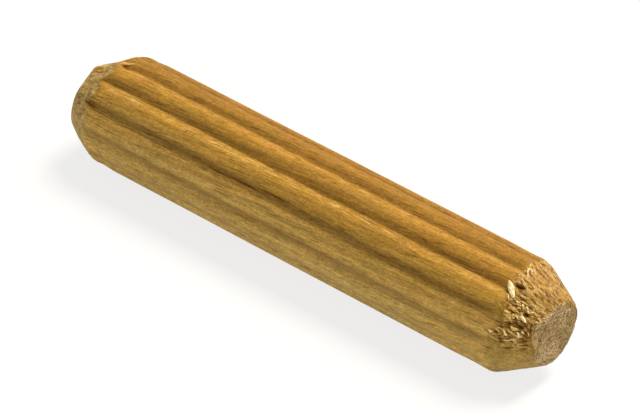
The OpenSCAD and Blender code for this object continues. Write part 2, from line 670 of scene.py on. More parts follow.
@dataclass
class PinBody:
    """The pin's closed body: shank, both chamfers and both end faces."""

    surface: PinSurface
    around: int = 432
    first_cuts: int = 14
    second_cuts: int = 9
    clean_rows: int = 30
    torn_rows: int = 62
    clean_zone: float = 3.4 * MM
    torn_zone: float = 3.5 * MM
    clean_face_rings: int = 12
    torn_face_rings: int = 26
    # Strength of the painted shade along the grooves, for each angle round the pin.
    groove_shade_strengths: Knots = (
        (60.0, 0.75), (90.0, 0.80), (120.0, 0.85), (148.0, 1.15), (180.0, 1.30), (210.0, 0.95),
    )
    near_longs: Knots = (
        (60.0, 0.10), (100.0, 0.09), (122.0, 0.16), (134.0, 0.46), (150.0, 0.58), (160.0, 0.30),
        (174.0, 0.09), (210.0, 0.06),
    )
    rim_longs: Knots = (
        (60.0, 2.10), (82.0, 1.70), (90.0, 1.15), (97.0, 1.52), (102.0, 1.95), (108.0, 2.28),
        (117.0, 1.78), (122.0, 1.62), (134.0, 2.12), (141.0, 1.76), (147.0, 1.26), (152.0, 1.56),
        (158.0, 1.98), (173.0, 1.82), (187.0, 1.68), (200.0, 1.95),
    )
    stains: tuple[Stain, ...] = (
        Stain(148.4, -5.6, 1.5, 2.0, 0.8),
        Stain(146.8, -3.9, 1.8, 1.9, 1.0),
        Stain(143.6, -1.4, 1.6, 1.9, 0.8),
        Stain(146.0, -9.0, 1.2, 3.6, 0.45),
        Stain(147.6, 4.4, 1.2, 3.4, 0.25),
        Stain(148.3, -17.00, 3.0, 1.15, 0.95),
        Stain(144.8, -16.9, 2.0, 0.8, 0.70),
        Stain(140.8, -16.4, 1.0, 1.0, 0.7),
        Stain(151.6, -16.1, 0.8, 1.3, 1.0),
        Stain(163.4, -15.4, 0.8, 1.7, 0.9),
        Stain(165.5, -5.4, 1.4, 1.2, 0.55),
        Stain(181.2, -3.4, 1.0, 1.6, 0.50),
        Stain(178.5, -10.5, 1.2, 3.0, 0.35),
        Stain(174.5, 2.0, 1.2, 3.4, 0.30),
        Stain(204.0, -1.9, 1.3, 0.6, 0.60),
        Stain(133.0, -7.0, 0.7, 1.2, 0.60),
        Stain(119.2, -17.1, 1.8, 0.7, 0.75),
        Stain(93.4, -16.5, 3.0, 0.6, 0.75),
        Stain(127.0, -17.2, 1.4, 0.34, 1.0),
        Stain(106.4, -17.6, 0.9, 0.30, 0.75),
        Stain(107.6, -18.15, 2.8, 0.62, 0.85),
        Stain(114.6, -18.5, 1.8, 0.26, 0.70),
        Stain(96.6, -17.8, 1.0, 0.40, 0.50),
        Stain(150.0, -18.6, 2.4, 0.30, 1.0),
        Stain(155.6, -18.35, 1.5, 0.34, 0.95),
        Stain(134.0, 17.40, 9.0, 0.85, 0.45),
        Stain(161.0, 17.30, 8.0, 0.80, 0.20),
        Stain(105.2, 17.69, 1.0, 0.20, 0.7),
        Stain(80.6, 18.39, 1.2, 0.26, 0.5),
        Stain(96.0, 18.55, 1.6, 0.10, 0.5),
        Stain(93.2, 16.40, 1.8, 0.16, 0.6),
    )
    # Painted light and shade, partly the wood's own tone: patches that darken the colour, and lighten
    # it where the strength is below 0.
    tones: tuple[Stain, ...] = (
        Stain(92.0, 18.40, 17.0, 0.85, 0.22),
        Stain(112.5, 17.45, 8.0, 0.80, 0.20),
        Stain(168.0, 17.80, 11.0, 1.00, -0.24),
        Stain(169.0, 18.45, 6.0, 0.75, -0.30),
        Stain(125.0, -18.50, 6.0, 0.60, 0.14),
        Stain(101.0, -18.70, 8.0, 0.75, -0.14),
        Stain(61.0, -5.0, 4.5, 6.0, -0.10),
        Stain(74.0, -15.0, 5.0, 3.5, 0.10),
        Stain(112.0, 1.5, 3.5, 6.0, 0.06),
        Stain(130.5, -10.5, 4.4, 5.2, 0.14),
        Stain(134.0, -4.5, 2.2, 5.0, 0.09),
        Stain(125.2, 4.0, 2.8, 5.4, -0.08),
        Stain(143.8, 11.5, 2.0, 5.0, -0.10),
        Stain(94.8, -7.5, 2.0, 7.0, 0.10),
        Stain(130.5, 14.4, 5.0, 3.6, 0.12),
        Stain(141.2, -5.2, 2.4, 2.4, -0.10),
        Stain(141.5, 9.0, 3.0, 6.0, -0.05),
        Stain(146.5, -10.2, 4.5, 4.5, -0.11),
        Stain(147.2, -3.4, 2.4, 3.4, 0.12),
        Stain(164.5, 3.5, 4.0, 7.0, -0.14),
        Stain(210.0, -15.2, 6.0, 3.0, -0.09),
    )
    # Painted light and shade round the shank: a factor on the colour for each angle round the pin,
    # lighter at some angles and darker at others.
    light_and_shade_bands: Knots = (
        (40.0, 1.06), (60.0, 1.16), (70.0, 0.90), (82.0, 0.97), (91.0, 1.01), (96.0, 0.91),
        (102.0, 1.10), (109.0, 0.89), (114.0, 0.96), (118.0, 1.06), (125.0, 1.02), (131.0, 0.95),
        (141.5, 1.09), (147.0, 0.96), (151.0, 1.17), (158.5, 0.85), (165.0, 1.20), (172.0, 1.04),
        (179.0, 0.98), (187.0, 1.03), (196.5, 0.90), (205.0, 0.92), (214.0, 1.06),
    )
    fine_arc: Range = (128.0, 166.0)
    fine_shift: float = 1.0 * MM
    rim_arc: Range = (62.0, 128.0)
    rim_pale: float = 0.45
    cut_facet: Stain = Stain(101.5, -18.70, 10.5, 0.90, 1.0)
    pale_spots: tuple[Stain, ...] = (
        Stain(111.5, -17.3, 2.4, 0.40, 0.8),
        Stain(119.0, -18.45, 2.2, 0.24, 0.6),
        Stain(143.5, -17.86, 1.3, 0.26, 1.0),
        Stain(135.5, -17.50, 1.8, 0.55, 1.0),
        Stain(93.0, -18.75, 7.0, 0.50, 0.5),
        Stain(153.0, -17.9, 1.6, 0.40, 0.6),
        Stain(172.0, -17.4, 16.0, 0.16, 0.8),
    )
    pale_patches: tuple[FacePatch, ...] = (
        FacePatch(-1.00, -0.80, 0.80, 0.70),
        FacePatch(-0.10, -0.95, 0.95, 0.90),
        FacePatch(-0.05, -0.62, 0.28, 0.90),
        FacePatch(0.10, 1.65, 0.90, 0.55),
        FacePatch(1.05, 1.50, 0.75, 0.75),
    )
    dim_patches: tuple[FacePatch, ...] = (
        FacePatch(0.95, -0.60, 1.10, 0.85),
        FacePatch(-1.00, -0.10, 0.65, 0.60),
        FacePatch(1.20, -1.40, 0.85, 0.85),
        FacePatch(1.70, 0.30, 0.95, 0.90),
        FacePatch(-1.40, 0.75, 0.85, 0.45),
        FacePatch(-1.95, 1.30, 1.00, 0.55),
        FacePatch(-2.35, 0.35, 0.80, 0.70),
    )
    worn_rim: Range = (34.0, 66.0)
    worn_from: float = 1.80 * MM
    worn_ease: float = 0.25 * MM
    worn_near: float = 0.6 * MM
    flat: float = 1e-7
    facing: float = 0.9
    dish: float = 0.018 * MM
    dish_powers: Range = (2.5, 8)
    dish_fades: float = 0.9 * MM
    shank_ease: float = 1.0 * MM
    shank_starts: Range = (2.5 * MM, 1.4 * MM)
    near_fades: Range = (0.3, 1.3)
    rim_ease: float = 0.10 * MM
    rim_light: Range = (0.06 * MM, 0.50 * MM)
    # Painted shade: a dark band beside the bottom of every groove, on the flank turned from the key
    # lamp.
    groove_shade_band: GrooveBand = GrooveBand(-4.3, 4.8)
    # Painted glints: pale flecks just past the bottom of every groove, on the lit side.
    glint_band: GrooveBand = GrooveBand(4.0, 3.0)
    # Painted highlight: a lighter band on the lit flank beside every groove.
    highlight_band: GrooveBand = GrooveBand(6.0, 3.4)
    # Angle of the side that faces the key lamp, where the painted glints and highlight lie.
    lit_side: float = 112.0
    glint_power: int = 3
    highlight_power: int = 5
    low_share: float = 0.9
    low_sunk: Range = (0.11 * MM, 0.22 * MM)
    crest_sunk: Range = (0.02 * MM, 0.12 * MM)
    crest_highlight_share: float = 0.55
    dull_share: float = 0.7
    face_near: float = 0.8 * MM
    fine_ease: float = 0.8 * MM
    worn_soft: float = 8.0
    cut_soft: float = 10.0
    rim_soft: float = 10.0
    dull_soft: float = 9.0
    fine_soft: float = 8.0

    def build(self) -> bpy.types.Object:
        """Model the body from a cylinder.

        Returns:
            The finished mesh object, at the origin and unturned.
        """
        self.form = self.surface.form
        pin = self.rough_rod()
        self.shape(pin)
        return pin

    def rough_rod(self) -> bpy.types.Object:
        """Add the rod and give it rings along its length and on its end faces.

        Returns:
            The rod's object, in object mode.
        """
        form = self.form
        bpy.ops.mesh.primitive_cylinder_add(
            vertices=self.around,
            radius=form.radius,
            depth=2.0 * form.half_l,
            end_fill_type="NGON",
            location=(0.0, 0.0, form.axis_z),
            rotation=(0.0, math.pi / 2.0, 0.0),
        )
        pin = bpy.context.active_object
        pin.name = "pin_body"
        bpy.ops.object.transform_apply(location=True, rotation=True, scale=True)
        bpy.ops.object.mode_set(mode="EDIT")
        bpy.ops.mesh.select_mode(type="EDGE")
        for cuts in (self.first_cuts, self.second_cuts):
            self.select_lengthwise(pin)
            bpy.ops.mesh.subdivide(number_cuts=cuts)
        bpy.ops.mesh.select_mode(type="FACE")
        for end, rings in ((End.CLEAN, self.clean_face_rings), (End.TORN, self.torn_face_rings)):
            self.select_end_face(pin, end)
            for _ in range(rings - 1):
                bpy.ops.mesh.inset(thickness=form.radius / rings, depth=0.0)
            bpy.ops.mesh.poke()
        bpy.ops.mesh.select_all(action="DESELECT")
        bpy.ops.object.mode_set(mode="OBJECT")
        return pin

    def select_lengthwise(self, pin: bpy.types.Object) -> None:
        """Select only the edges that run along the rod.

        Args:
            pin: The rod, in edit mode.
        """
        mesh = bmesh.from_edit_mesh(pin.data)
        for edge in mesh.edges:
            a, b = edge.verts
            edge.select_set(abs(a.co.x - b.co.x) > self.flat)
        bmesh.update_edit_mesh(pin.data)

    def select_end_face(self, pin: bpy.types.Object, end: End) -> None:
        """Select only the flat face at one end of the rod.

        Args:
            pin: The rod, in edit mode.
            end: The end whose face is selected.
        """
        bpy.ops.mesh.select_all(action="DESELECT")
        mesh = bmesh.from_edit_mesh(pin.data)
        for face in mesh.faces:
            face.select_set(face.normal.x * end.value > self.facing)
        bmesh.update_edit_mesh(pin.data)

    def stations(self, x: np.ndarray) -> np.ndarray:
        """Space the rows closer at both ends.

        Args:
            x: Even positions along the rod.

        Returns:
            Positions with the end zones' rows drawn together.
        """
        half = self.form.half_l
        rows = (self.first_cuts + 1) * (self.second_cuts + 1)
        knots = np.array([0.0, self.clean_rows, rows - self.torn_rows, rows])
        places = np.array([-half, -half + self.clean_zone, half - self.torn_zone, half])
        return np.interp((x / half + 1.0) / 2.0 * rows, knots, places)

    def shape(self, pin: bpy.types.Object) -> None:
        """Press the grooves, cut both ends, tear the fibres and mark the finish and the painted light
        and shade.

        Args:
            pin: The rod, in object mode.
        """
        form, surface, mesh = self.form, self.surface, pin.data
        co = np.empty(len(mesh.vertices) * 3, np.float64)
        mesh.vertices.foreach_get("co", co)
        co = co.reshape(-1, 3)
        degrees = np.degrees(np.arctan2(co[:, 2] - form.axis_z, co[:, 1]))
        share = np.hypot(co[:, 1], co[:, 2] - form.axis_z) / form.radius
        x = self.stations(co[:, 0])
        at_end = np.abs(co[:, 0]) > form.half_l - self.flat
        torn_face = at_end & (co[:, 0] > 0.0)
        r = surface.radius(degrees, x)
        torn = surface.from_face(End.TORN, x)
        back = surface.setback(degrees)
        speckle = self.dish * surface.strokes.at(degrees, share * form.torn_face_r * 2.0)
        inner, outer = self.dish_powers
        dished = back * share**inner + (self.dish + speckle) * (1.0 - share**outer)
        moved = np.where(torn_face, dished, back * fall(0.0, self.dish_fades, torn))
        r = np.where(at_end, r * share, r)
        turn = np.radians(degrees)
        co[:, 0] = x - moved
        co[:, 1] = r * np.cos(turn)
        co[:, 2] = form.axis_z + r * np.sin(turn)
        low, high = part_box(NODE)
        co = np.clip(co, np.array(low), np.array(high))
        mesh.vertices.foreach_set("co", co.ravel().astype(np.float32))
        mesh.update()
        mesh.shade_smooth()
        self.mark(mesh, degrees, x, r, at_end)

    def mark(
        self,
        mesh: bpy.types.Mesh,
        degrees: np.ndarray,
        x: np.ndarray,
        r: np.ndarray,
        at_end: np.ndarray,
    ) -> None:
        """Store where the finish and the painted light and shade change, as attributes of the mesh's
        points.

        Args:
            mesh: The body's mesh.
            degrees: Angle of each point round the pin.
            x: Place of each point along the pin before the faces were dished.
            r: Distance of each point from the axis.
            at_end: True for points on the end faces and their rims.
        """
        form, surface = self.form, self.surface
        torn = surface.from_face(End.TORN, x)
        clean = surface.from_face(End.CLEAN, x)
        gap = form.valley_gap(surface.grooved(degrees, x))
        from_torn, from_clean = self.shank_starts
        shank = smoothstep(0.0, self.shank_ease, np.minimum(torn - from_torn, clean - from_clean))
        reach = surface.stepped(self.near_longs, degrees) * MM
        near_face = fall(*self.near_fades, torn / reach)
        rim = surface.stepped(self.rim_longs, degrees) * MM
        on_cone = fall(-self.rim_ease, self.rim_ease, clean - rim)
        on_cone = on_cone * (1.0 - self.cut_facet.share(degrees, x))
        chamfer = surface.on_chamfer(degrees, torn)
        rough = surface.roughness(degrees, torn)
        sunk = surface.relief(degrees, x)
        # Painted shade in the deepest torn places.
        sunk_shade = self.low_share * rough * smoothstep(*self.low_sunk, sunk)
        # Painted highlight on the raised crests of the torn wood, and on part of the cut chamfer.
        crest_highlights = rough * fall(*self.crest_sunk, sunk)
        worn = arc(*self.worn_rim, self.worn_soft, degrees)
        worn = worn * smoothstep(0.0, self.worn_ease, r - self.worn_from)
        worn = worn * (torn < self.worn_near)
        cut = np.maximum(arc(*surface.cut_arc, self.cut_soft, degrees) * chamfer, worn)
        across = np.maximum.reduce([near_face, on_cone, at_end * 1.0])
        # Painted shade along the grooves, stronger on some sides of the pin.
        groove_shade = surface.stepped(self.groove_shade_strengths, degrees)
        # Weight of the side that faces the key lamp, for the painted glints and highlight.
        lit_share = 0.5 + 0.5 * np.cos(np.radians(turn_gap(degrees, self.lit_side)))
        # Painted light and shade, in bands round the shank and in patches, stored as band.
        band = 1.0 + (surface.stepped(self.light_and_shade_bands, degrees) - 1.0) * shank
        for tone in self.tones:
            band = band * (1.0 - tone.share(degrees, x))
        turn = np.radians(degrees)
        y, z = r * np.cos(turn), r * np.sin(turn)
        torn_face = torn < self.face_near
        from_rim = np.where(at_end, surface.torn_face_radius(degrees) - r, torn)
        rim_pale = self.rim_pale * arc(*self.rim_arc, self.rim_soft, degrees)
        pale = [patch.share(y, z) * torn_face for patch in self.pale_patches]
        pale += [spot.share(degrees, x) for spot in self.pale_spots]
        pale.append(rim_pale * fall(*self.rim_light, from_rim))
        dull = self.dull_share * arc(*surface.dull_arc, self.dull_soft, degrees)
        areas = {
            "valley": self.groove_shade_band.at(gap) * shank * groove_shade,
            "lip": self.glint_band.at(gap) * shank * lit_share**self.glint_power,
            "burnish": self.highlight_band.at(gap) * shank * lit_share**self.highlight_power,
            "stain": np.maximum.reduce([stain.share(degrees, x) for stain in self.stains]),
            "crest": np.maximum(crest_highlights, self.crest_highlight_share * cut),
            "end_grain": across * (1.0 - worn),
            "clean_cut": np.maximum(on_cone, at_end * (x < 0.0)),
            "pale": np.maximum.reduce(pale),
            "dim": np.maximum.reduce([p.share(y, z) * torn_face for p in self.dim_patches]),
            "band": band,
            "chipped": rough,
            "dull": np.maximum(rough, dull),
            # Smooth torn chamfer, darkened by painted shade and its darker cut grain.
            "bevel": chamfer * (1.0 - rough) - cut * (1.0 - rough),
            "cut": cut,
            "hollow_shade": np.maximum(surface.tear_share(degrees, x), sunk_shade),
        }
        for name, values in areas.items():
            self.store(mesh, name, values)
        spread = form.radius * np.where(at_end, r / surface.radius(degrees, x), 1.0)
        drawn = arc(*self.fine_arc, self.fine_soft, degrees) * smoothstep(0.0, self.fine_ease, torn)
        skin = [x - self.fine_shift * drawn, spread * np.cos(turn), spread * np.sin(turn)]
        made = mesh.attributes.new("skin", "FLOAT_VECTOR", "POINT")
        made.data.foreach_set("vector", np.stack(skin, axis=1).ravel().astype(np.float32))

    @staticmethod
    def store(mesh: bpy.types.Mesh, name: str, values: np.ndarray) -> None:
        """Store one number for each point of the mesh under a name."""
        made = mesh.attributes.new(name, "FLOAT", "POINT")
        made.data.foreach_set("value", values.astype(np.float32))


class StrandMesh:
    """Collects thin tapered strands of wood into one mesh."""

    def __init__(self, sides: int = 6) -> None:
        """Start an empty collection.

        Args:
            sides: Corners of a strand's cross section.
        """
        self.sides = sides
        self.points: list[np.ndarray] = []
        self.faces: list[list[int]] = []
        self.tones: list[float] = []

    def add(
        self, spine: np.ndarray, up: np.ndarray, wide: np.ndarray, thick: np.ndarray, tone: float
    ) -> None:
        """Add one strand that follows a line of points.

        Args:
            spine: Points along the strand's middle.
            up: Direction its flat side faces.
            wide: Half of its width at each point.
            thick: Half of its thickness at each point.
            tone: Paleness of its wood, from 0 to 1.
        """
        ahead = np.gradient(spine, axis=0)
        ahead /= np.linalg.norm(ahead, axis=1)[:, None]
        side = np.cross(up, ahead)
        side /= np.linalg.norm(side, axis=1)[:, None]
        over = np.cross(ahead, side)
        first = sum(len(p) for p in self.points)
        turn = np.linspace(0.0, 2.0 * math.pi, self.sides, endpoint=False)
        ring = (
            spine[:, None, :]
            + side[:, None, :] * (wide[:, None] * np.cos(turn))[:, :, None]
            + over[:, None, :] * (thick[:, None] * np.sin(turn))[:, :, None]
        )
        self.points.append(ring.reshape(-1, 3))
        self.tones += [tone] * (len(spine) * self.sides)
        for row in range(len(spine) - 1):
            for k in range(self.sides):
                a = first + row * self.sides + k
                b = first + row * self.sides + (k + 1) % self.sides
                self.faces.append([a, b, b + self.sides, a + self.sides])
        last = first + (len(spine) - 1) * self.sides
        self.faces.append([first + k for k in reversed(range(self.sides))])
        self.faces.append([last + k for k in range(self.sides)])

    def build(self, name: str) -> bpy.types.Object:
        """Make the object.

        Args:
            name: Name of the piece.

        Returns:
            The finished object, at the origin and unturned.
        """
        low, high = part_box(NODE)
        points = np.clip(np.concatenate(self.points), np.array(low), np.array(high))
        mesh = bpy.data.meshes.new(name)
        mesh.from_pydata(points.tolist(), [], self.faces)
        PinBody.store(mesh, "tone", np.array(self.tones))
        piece = bpy.data.objects.new(name, mesh)
        bpy.context.scene.collection.objects.link(piece)
        bpy.ops.object.select_all(action="DESELECT")
        bpy.context.view_layer.objects.active = piece
        piece.select_set(True)
        bpy.ops.object.mode_set(mode="EDIT")
        bpy.ops.mesh.select_all(action="SELECT")
        bpy.ops.mesh.normals_make_consistent(inside=False)
        bpy.ops.object.mode_set(mode="OBJECT")
        mesh.shade_smooth()
        return piece


@dataclass(frozen=True)
class Sliver:
    """One splinter that still lies where the fibres round it came out.

    Its line is given by angles round the pin and distances from the torn face in millimetres.
    """

    line: Knots
    half: float
    tone: float
    lift: float = 0.02


@dataclass
class TornSlivers:
    """The larger splinters of the torn chamfer, each laid in its own place."""

    surface: PinSurface
    sides: int = 8
    rows: int = 9
    sunk_share: float = 0.6
    thick_share: float = 0.55
    root: float = 0.3
    taper: Knots = ((0.0, 0.35), (0.2, 0.85), (0.6, 1.0), (0.85, 0.75), (1.0, 0.15))
    slivers: tuple[Sliver, ...] = (
        Sliver(((135.4, 2.76), (136.2, 2.66), (136.4, 2.54)), 0.040, 0.16, 0.0),
        Sliver(((132.8, 2.80), (133.2, 2.70), (133.0, 2.60)), 0.030, 0.12, 0.0),
        Sliver(((130.6, 2.58), (131.4, 2.50), (131.2, 2.40)), 0.035, 0.18, 0.0),
        Sliver(((162.0, 2.73), (162.4, 2.60), (163.4, 2.48)), 0.060, 0.65, 0.03),
        Sliver(((165.0, 2.70), (167.4, 2.42), (170.4, 2.10)), 0.030, 0.35),
        Sliver(((158.4, 2.32), (159.4, 2.18), (161.0, 2.02)), 0.055, 0.40, 0.04),
        Sliver(((157.2, 2.30), (156.6, 2.12), (156.4, 1.94)), 0.040, 0.25),
        Sliver(((157.4, 1.94), (158.6, 1.84), (161.4, 1.72), (163.2, 1.62)), 0.062, 0.80, 0.08),
        Sliver(((156.0, 1.72), (157.6, 1.46), (159.8, 1.22)), 0.075, 0.42, 0.05),
        Sliver(((159.2, 1.24), (161.4, 1.12), (162.0, 0.96)), 0.045, 0.75, 0.08),
        Sliver(((155.9, 1.21), (156.9, 1.09), (159.4, 1.04), (162.2, 0.98)), 0.060, 0.95, 0.08),
        Sliver(((165.4, 1.40), (166.0, 1.33), (167.0, 1.27)), 0.060, 0.65, 0.06),
        Sliver(((167.6, 1.21), (168.4, 1.12), (168.4, 1.04)), 0.055, 0.50, 0.04),
        Sliver(((169.6, 1.04), (172.6, 0.96), (176.0, 0.84)), 0.040, 0.35),
        Sliver(((151.4, 1.62), (153.4, 1.42), (152.0, 1.13)), 0.110, 0.36, 0.03),
        Sliver(((153.4, 0.99), (153.8, 0.89), (155.2, 0.78)), 0.065, 0.72, 0.06),
        Sliver(((139.2, 2.26), (139.4, 2.06), (138.8, 1.88)), 0.070, 0.48),
        Sliver(((142.0, 2.16), (143.2, 1.90), (145.4, 1.62)), 0.050, 0.50, 0.06),
        Sliver(((141.0, 1.92), (142.6, 1.80), (143.4, 1.70)), 0.045, 0.40, 0.04),
        Sliver(((142.6, 1.71), (142.0, 1.62), (141.2, 1.54)), 0.045, 0.62, 0.05),
        Sliver(((138.6, 1.79), (139.2, 1.72), (139.8, 1.64)), 0.055, 0.62, 0.05),
        Sliver(((138.8, 1.58), (139.6, 1.46), (141.6, 1.31)), 0.045, 0.60, 0.06),
        Sliver(((135.2, 1.40), (137.0, 1.26), (138.6, 1.10), (140.4, 0.88)), 0.112, 1.0, 0.10),
        Sliver(((132.3, 2.14), (133.9, 1.86), (133.0, 1.68)), 0.065, 0.55, 0.04),
        Sliver(((133.4, 1.69), (134.4, 1.60), (134.2, 1.51)), 0.045, 0.50, 0.03),
        Sliver(((132.4, 1.46), (133.8, 1.36), (135.2, 1.26)), 0.050, 0.42, 0.03),
        Sliver(((127.6, 1.19), (128.0, 1.11), (129.0, 1.01)), 0.042, 0.90, 0.05),
        Sliver(((124.9, 1.99), (125.2, 1.90), (125.6, 1.79)), 0.050, 0.88, 0.03),
        Sliver(((124.0, 1.62), (125.0, 1.53), (126.4, 1.44)), 0.055, 0.78, 0.03),
        Sliver(((123.8, 1.37), (124.4, 1.28), (125.2, 1.18)), 0.055, 0.88, 0.03),
        Sliver(((123.8, 0.92), (124.4, 0.86), (125.2, 0.79)), 0.045, 0.55, 0.02),
        Sliver(((122.0, 1.78), (121.6, 1.54), (122.0, 1.28)), 0.050, 0.40, 0.01),
        Sliver(((123.0, 2.62), (124.6, 2.52), (125.8, 2.44)), 0.050, 0.55, 0.02),
        Sliver(((124.4, 2.50), (126.6, 2.42), (128.0, 2.34)), 0.060, 0.70, 0.03),
        Sliver(((126.8, 2.30), (126.4, 2.22), (125.8, 2.14)), 0.045, 0.55, 0.03),
        Sliver(((152.0, 0.64), (154.2, 0.56), (156.6, 0.50)), 0.050, 0.50, 0.02),
        Sliver(((103.2, 2.48), (104.4, 2.30), (106.8, 2.08)), 0.060, 0.62, 0.04),
        Sliver(((81.0, 2.92), (84.0, 2.76), (87.6, 2.62)), 0.060, 0.45, 0.02),
        Sliver(((71.6, 0.90), (72.6, 0.83), (73.6, 0.77)), 0.045, 0.60, 0.02),
        Sliver(((174.8, 1.30), (173.6, 0.90), (175.0, 0.12)), 0.030, 0.40, 0.01),
    )

    def build(self) -> bpy.types.Object:
        """Lay the splinters and join them in one piece.

        Returns:
            The finished mesh object.
        """
        strands = StrandMesh(self.sides)
        for sliver in self.slivers:
            self.lay(strands, sliver)
        return strands.build("torn_slivers")

    def lay(self, strands: StrandMesh, sliver: Sliver) -> None:
        """Lay one splinter, sunk at its root and free at its tip.

        Args:
            strands: Collection the splinter goes into.
            sliver: The splinter.
        """
        slope = self.surface.form.torn_slope
        t = np.linspace(0.0, 1.0, self.rows)
        knots = np.linspace(0.0, 1.0, len(sliver.line))
        turns = np.interp(t, knots, [turn for turn, _ in sliver.line])
        places = np.interp(t, knots, [place for _, place in sliver.line])
        sunk = -self.sunk_share * sliver.half
        lifts = np.interp(t, [0.0, self.root, 1.0], [sunk, 0.0, sliver.lift])
        spine = np.array(
            [
                self.surface.above(turn, place * MM, lift * MM)
                for turn, place, lift in zip(turns, places, lifts)
            ]
        )
        spine[1:-1] = (spine[:-2] + 2.0 * spine[1:-1] + spine[2:]) / 4.0
        middle = math.radians(float(turns.mean()))
        out = np.array([0.0, math.cos(middle), math.sin(middle)])
        up = out * math.cos(slope) + np.array([math.sin(slope), 0.0, 0.0])
        taper = np.interp(t, *zip(*self.taper))
        thick = self.thick_share * sliver.half * MM * taper
        strands.add(spine, up, sliver.half * MM * taper, thick, sliver.tone)


@dataclass(frozen=True)
class ChipPatch:
    """One group of chips on the torn chamfer, in degrees and millimetres."""

    angle: float
    from_face: float
    turn_spread: float
    long_spread: float
    count: int
    pitch: Range = (4.0, 30.0)
    tone: Range = (0.3, 1.0)


@dataclass
class TornChips:
    """Short pale chips left where the fibres tore."""

    surface: PinSurface
    seed: int = 21
    long: Range = (0.12 * MM, 0.28 * MM)
    wide: Range = (0.024 * MM, 0.048 * MM)
    thick_share: Range = (0.35, 0.6)
    curl: Range = (-0.2, 0.5)
    nearest: float = 0.12 * MM
    yaw_spread: float = 14.0
    turned_share: float = 0.35
    sunk_share: float = 0.6
    root_share: float = 0.3
    edge_uneven: float = 0.12
    taper: tuple[float, ...] = (0.55, 0.95, 1.0, 0.9, 0.65, 0.18)
    patches: tuple[ChipPatch, ...] = (
        ChipPatch(125.2, 1.75, 1.8, 0.30, 10, tone=(0.4, 0.9)),
        ChipPatch(127.4, 1.10, 2.0, 0.20, 5, tone=(0.4, 0.8)),
        ChipPatch(132.4, 1.95, 3.4, 0.20, 9, tone=(0.3, 0.7)),
        ChipPatch(142.2, 1.95, 2.4, 0.22, 10, tone=(0.3, 0.7)),
        ChipPatch(139.4, 1.50, 2.2, 0.16, 7, tone=(0.3, 0.8)),
        ChipPatch(162.6, 2.52, 1.6, 0.10, 3, tone=(0.4, 0.8)),
        ChipPatch(162.1, 1.74, 1.4, 0.12, 5, tone=(0.4, 0.9)),
        ChipPatch(158.5, 2.20, 2.2, 0.20, 8, tone=(0.1, 0.6)),
        ChipPatch(159.8, 1.14, 2.0, 0.12, 7, tone=(0.5, 1.0)),
        ChipPatch(170.0, 1.10, 2.2, 0.20, 4, tone=(0.2, 0.6)),
        ChipPatch(131.0, 0.42, 4.0, 0.10, 6, tone=(0.4, 0.8)),
        ChipPatch(118.0, 0.55, 9.0, 0.22, 14, pitch=(1.0, 9.0), tone=(0.1, 0.5)),
        ChipPatch(140.0, 1.45, 24.0, 0.70, 60, tone=(0.0, 0.45)),
        ChipPatch(78.0, 1.35, 24.0, 0.95, 36, pitch=(1.0, 9.0), tone=(0.0, 0.45)),
        ChipPatch(72.0, 2.56, 14.0, 0.14, 18, pitch=(2.0, 14.0), tone=(0.2, 0.7)),
        ChipPatch(100.5, 2.60, 4.0, 0.12, 12, pitch=(2.0, 12.0), tone=(0.1, 0.5)),
        ChipPatch(176.0, 1.50, 2.0, 0.70, 10, pitch=(1.0, 8.0), tone=(0.0, 0.5)),
    )

    def build(self) -> bpy.types.Object:
        """Scatter the chips and join them in one piece.

        Returns:
            The finished mesh object.
        """
        draw = np.random.default_rng(self.seed)
        strands = StrandMesh()
        for patch in self.patches:
            for _ in range(patch.count):
                self.add_chip(strands, patch, draw)
        return strands.build("torn_chips")

    def add_chip(self, strands: StrandMesh, patch: ChipPatch, draw: np.random.Generator) -> None:
        """Add one chip, rooted in the surface and lifted at its free end.

        Args:
            strands: Collection the chip goes into.
            patch: Group the chip belongs to.
            draw: Source of random numbers.
        """
        degrees = patch.angle + patch.turn_spread * draw.uniform(-1.0, 1.0)
        place = patch.from_face * MM + patch.long_spread * MM * draw.uniform(-1.0, 1.0)
        turn = math.radians(degrees)
        out = np.array([0.0, math.cos(turn), math.sin(turn)])
        axis = np.array([1.0, 0.0, 0.0])
        round_way = np.cross(axis, out)
        slope = self.surface.form.torn_slope
        down = axis * math.cos(slope) - out * math.sin(slope)
        normal = out * math.cos(slope) + axis * math.sin(slope)
        yaw = math.radians(draw.normal(0.0, self.yaw_spread))
        way = down * math.cos(yaw) + round_way * math.sin(yaw)
        if draw.random() < self.turned_share:
            way = -way
        pitch = math.radians(draw.uniform(*patch.pitch))
        long = draw.uniform(*self.long)
        wide = draw.uniform(*self.wide)
        thick = wide * draw.uniform(*self.thick_share)
        curl = draw.uniform(*self.curl)
        taper = np.array(self.taper)
        t = np.linspace(0.0, 1.0, len(taper))
        lift = math.tan(pitch) * long * (t + curl * t * t)
        root = self.surface.lie(degrees, max(place, self.nearest))
        root = root - normal * (thick * self.sunk_share) - way * (long * self.root_share)
        spine = root + way * (long * t)[:, None] + normal * lift[:, None]
        edge = 1.0 + draw.uniform(-self.edge_uneven, self.edge_uneven, len(t))
        strands.add(spine, normal, wide * taper * edge, thick * taper, draw.uniform(*patch.tone))


@dataclass(frozen=True)
class FibreLoop:
    """One bent fibre: angle and distance from the face at its feet and its top.

    Lengths are in millimetres.
    """

    first_foot: Range
    second_foot: Range
    top: Range
    rise: float
    half: float
    tone: float


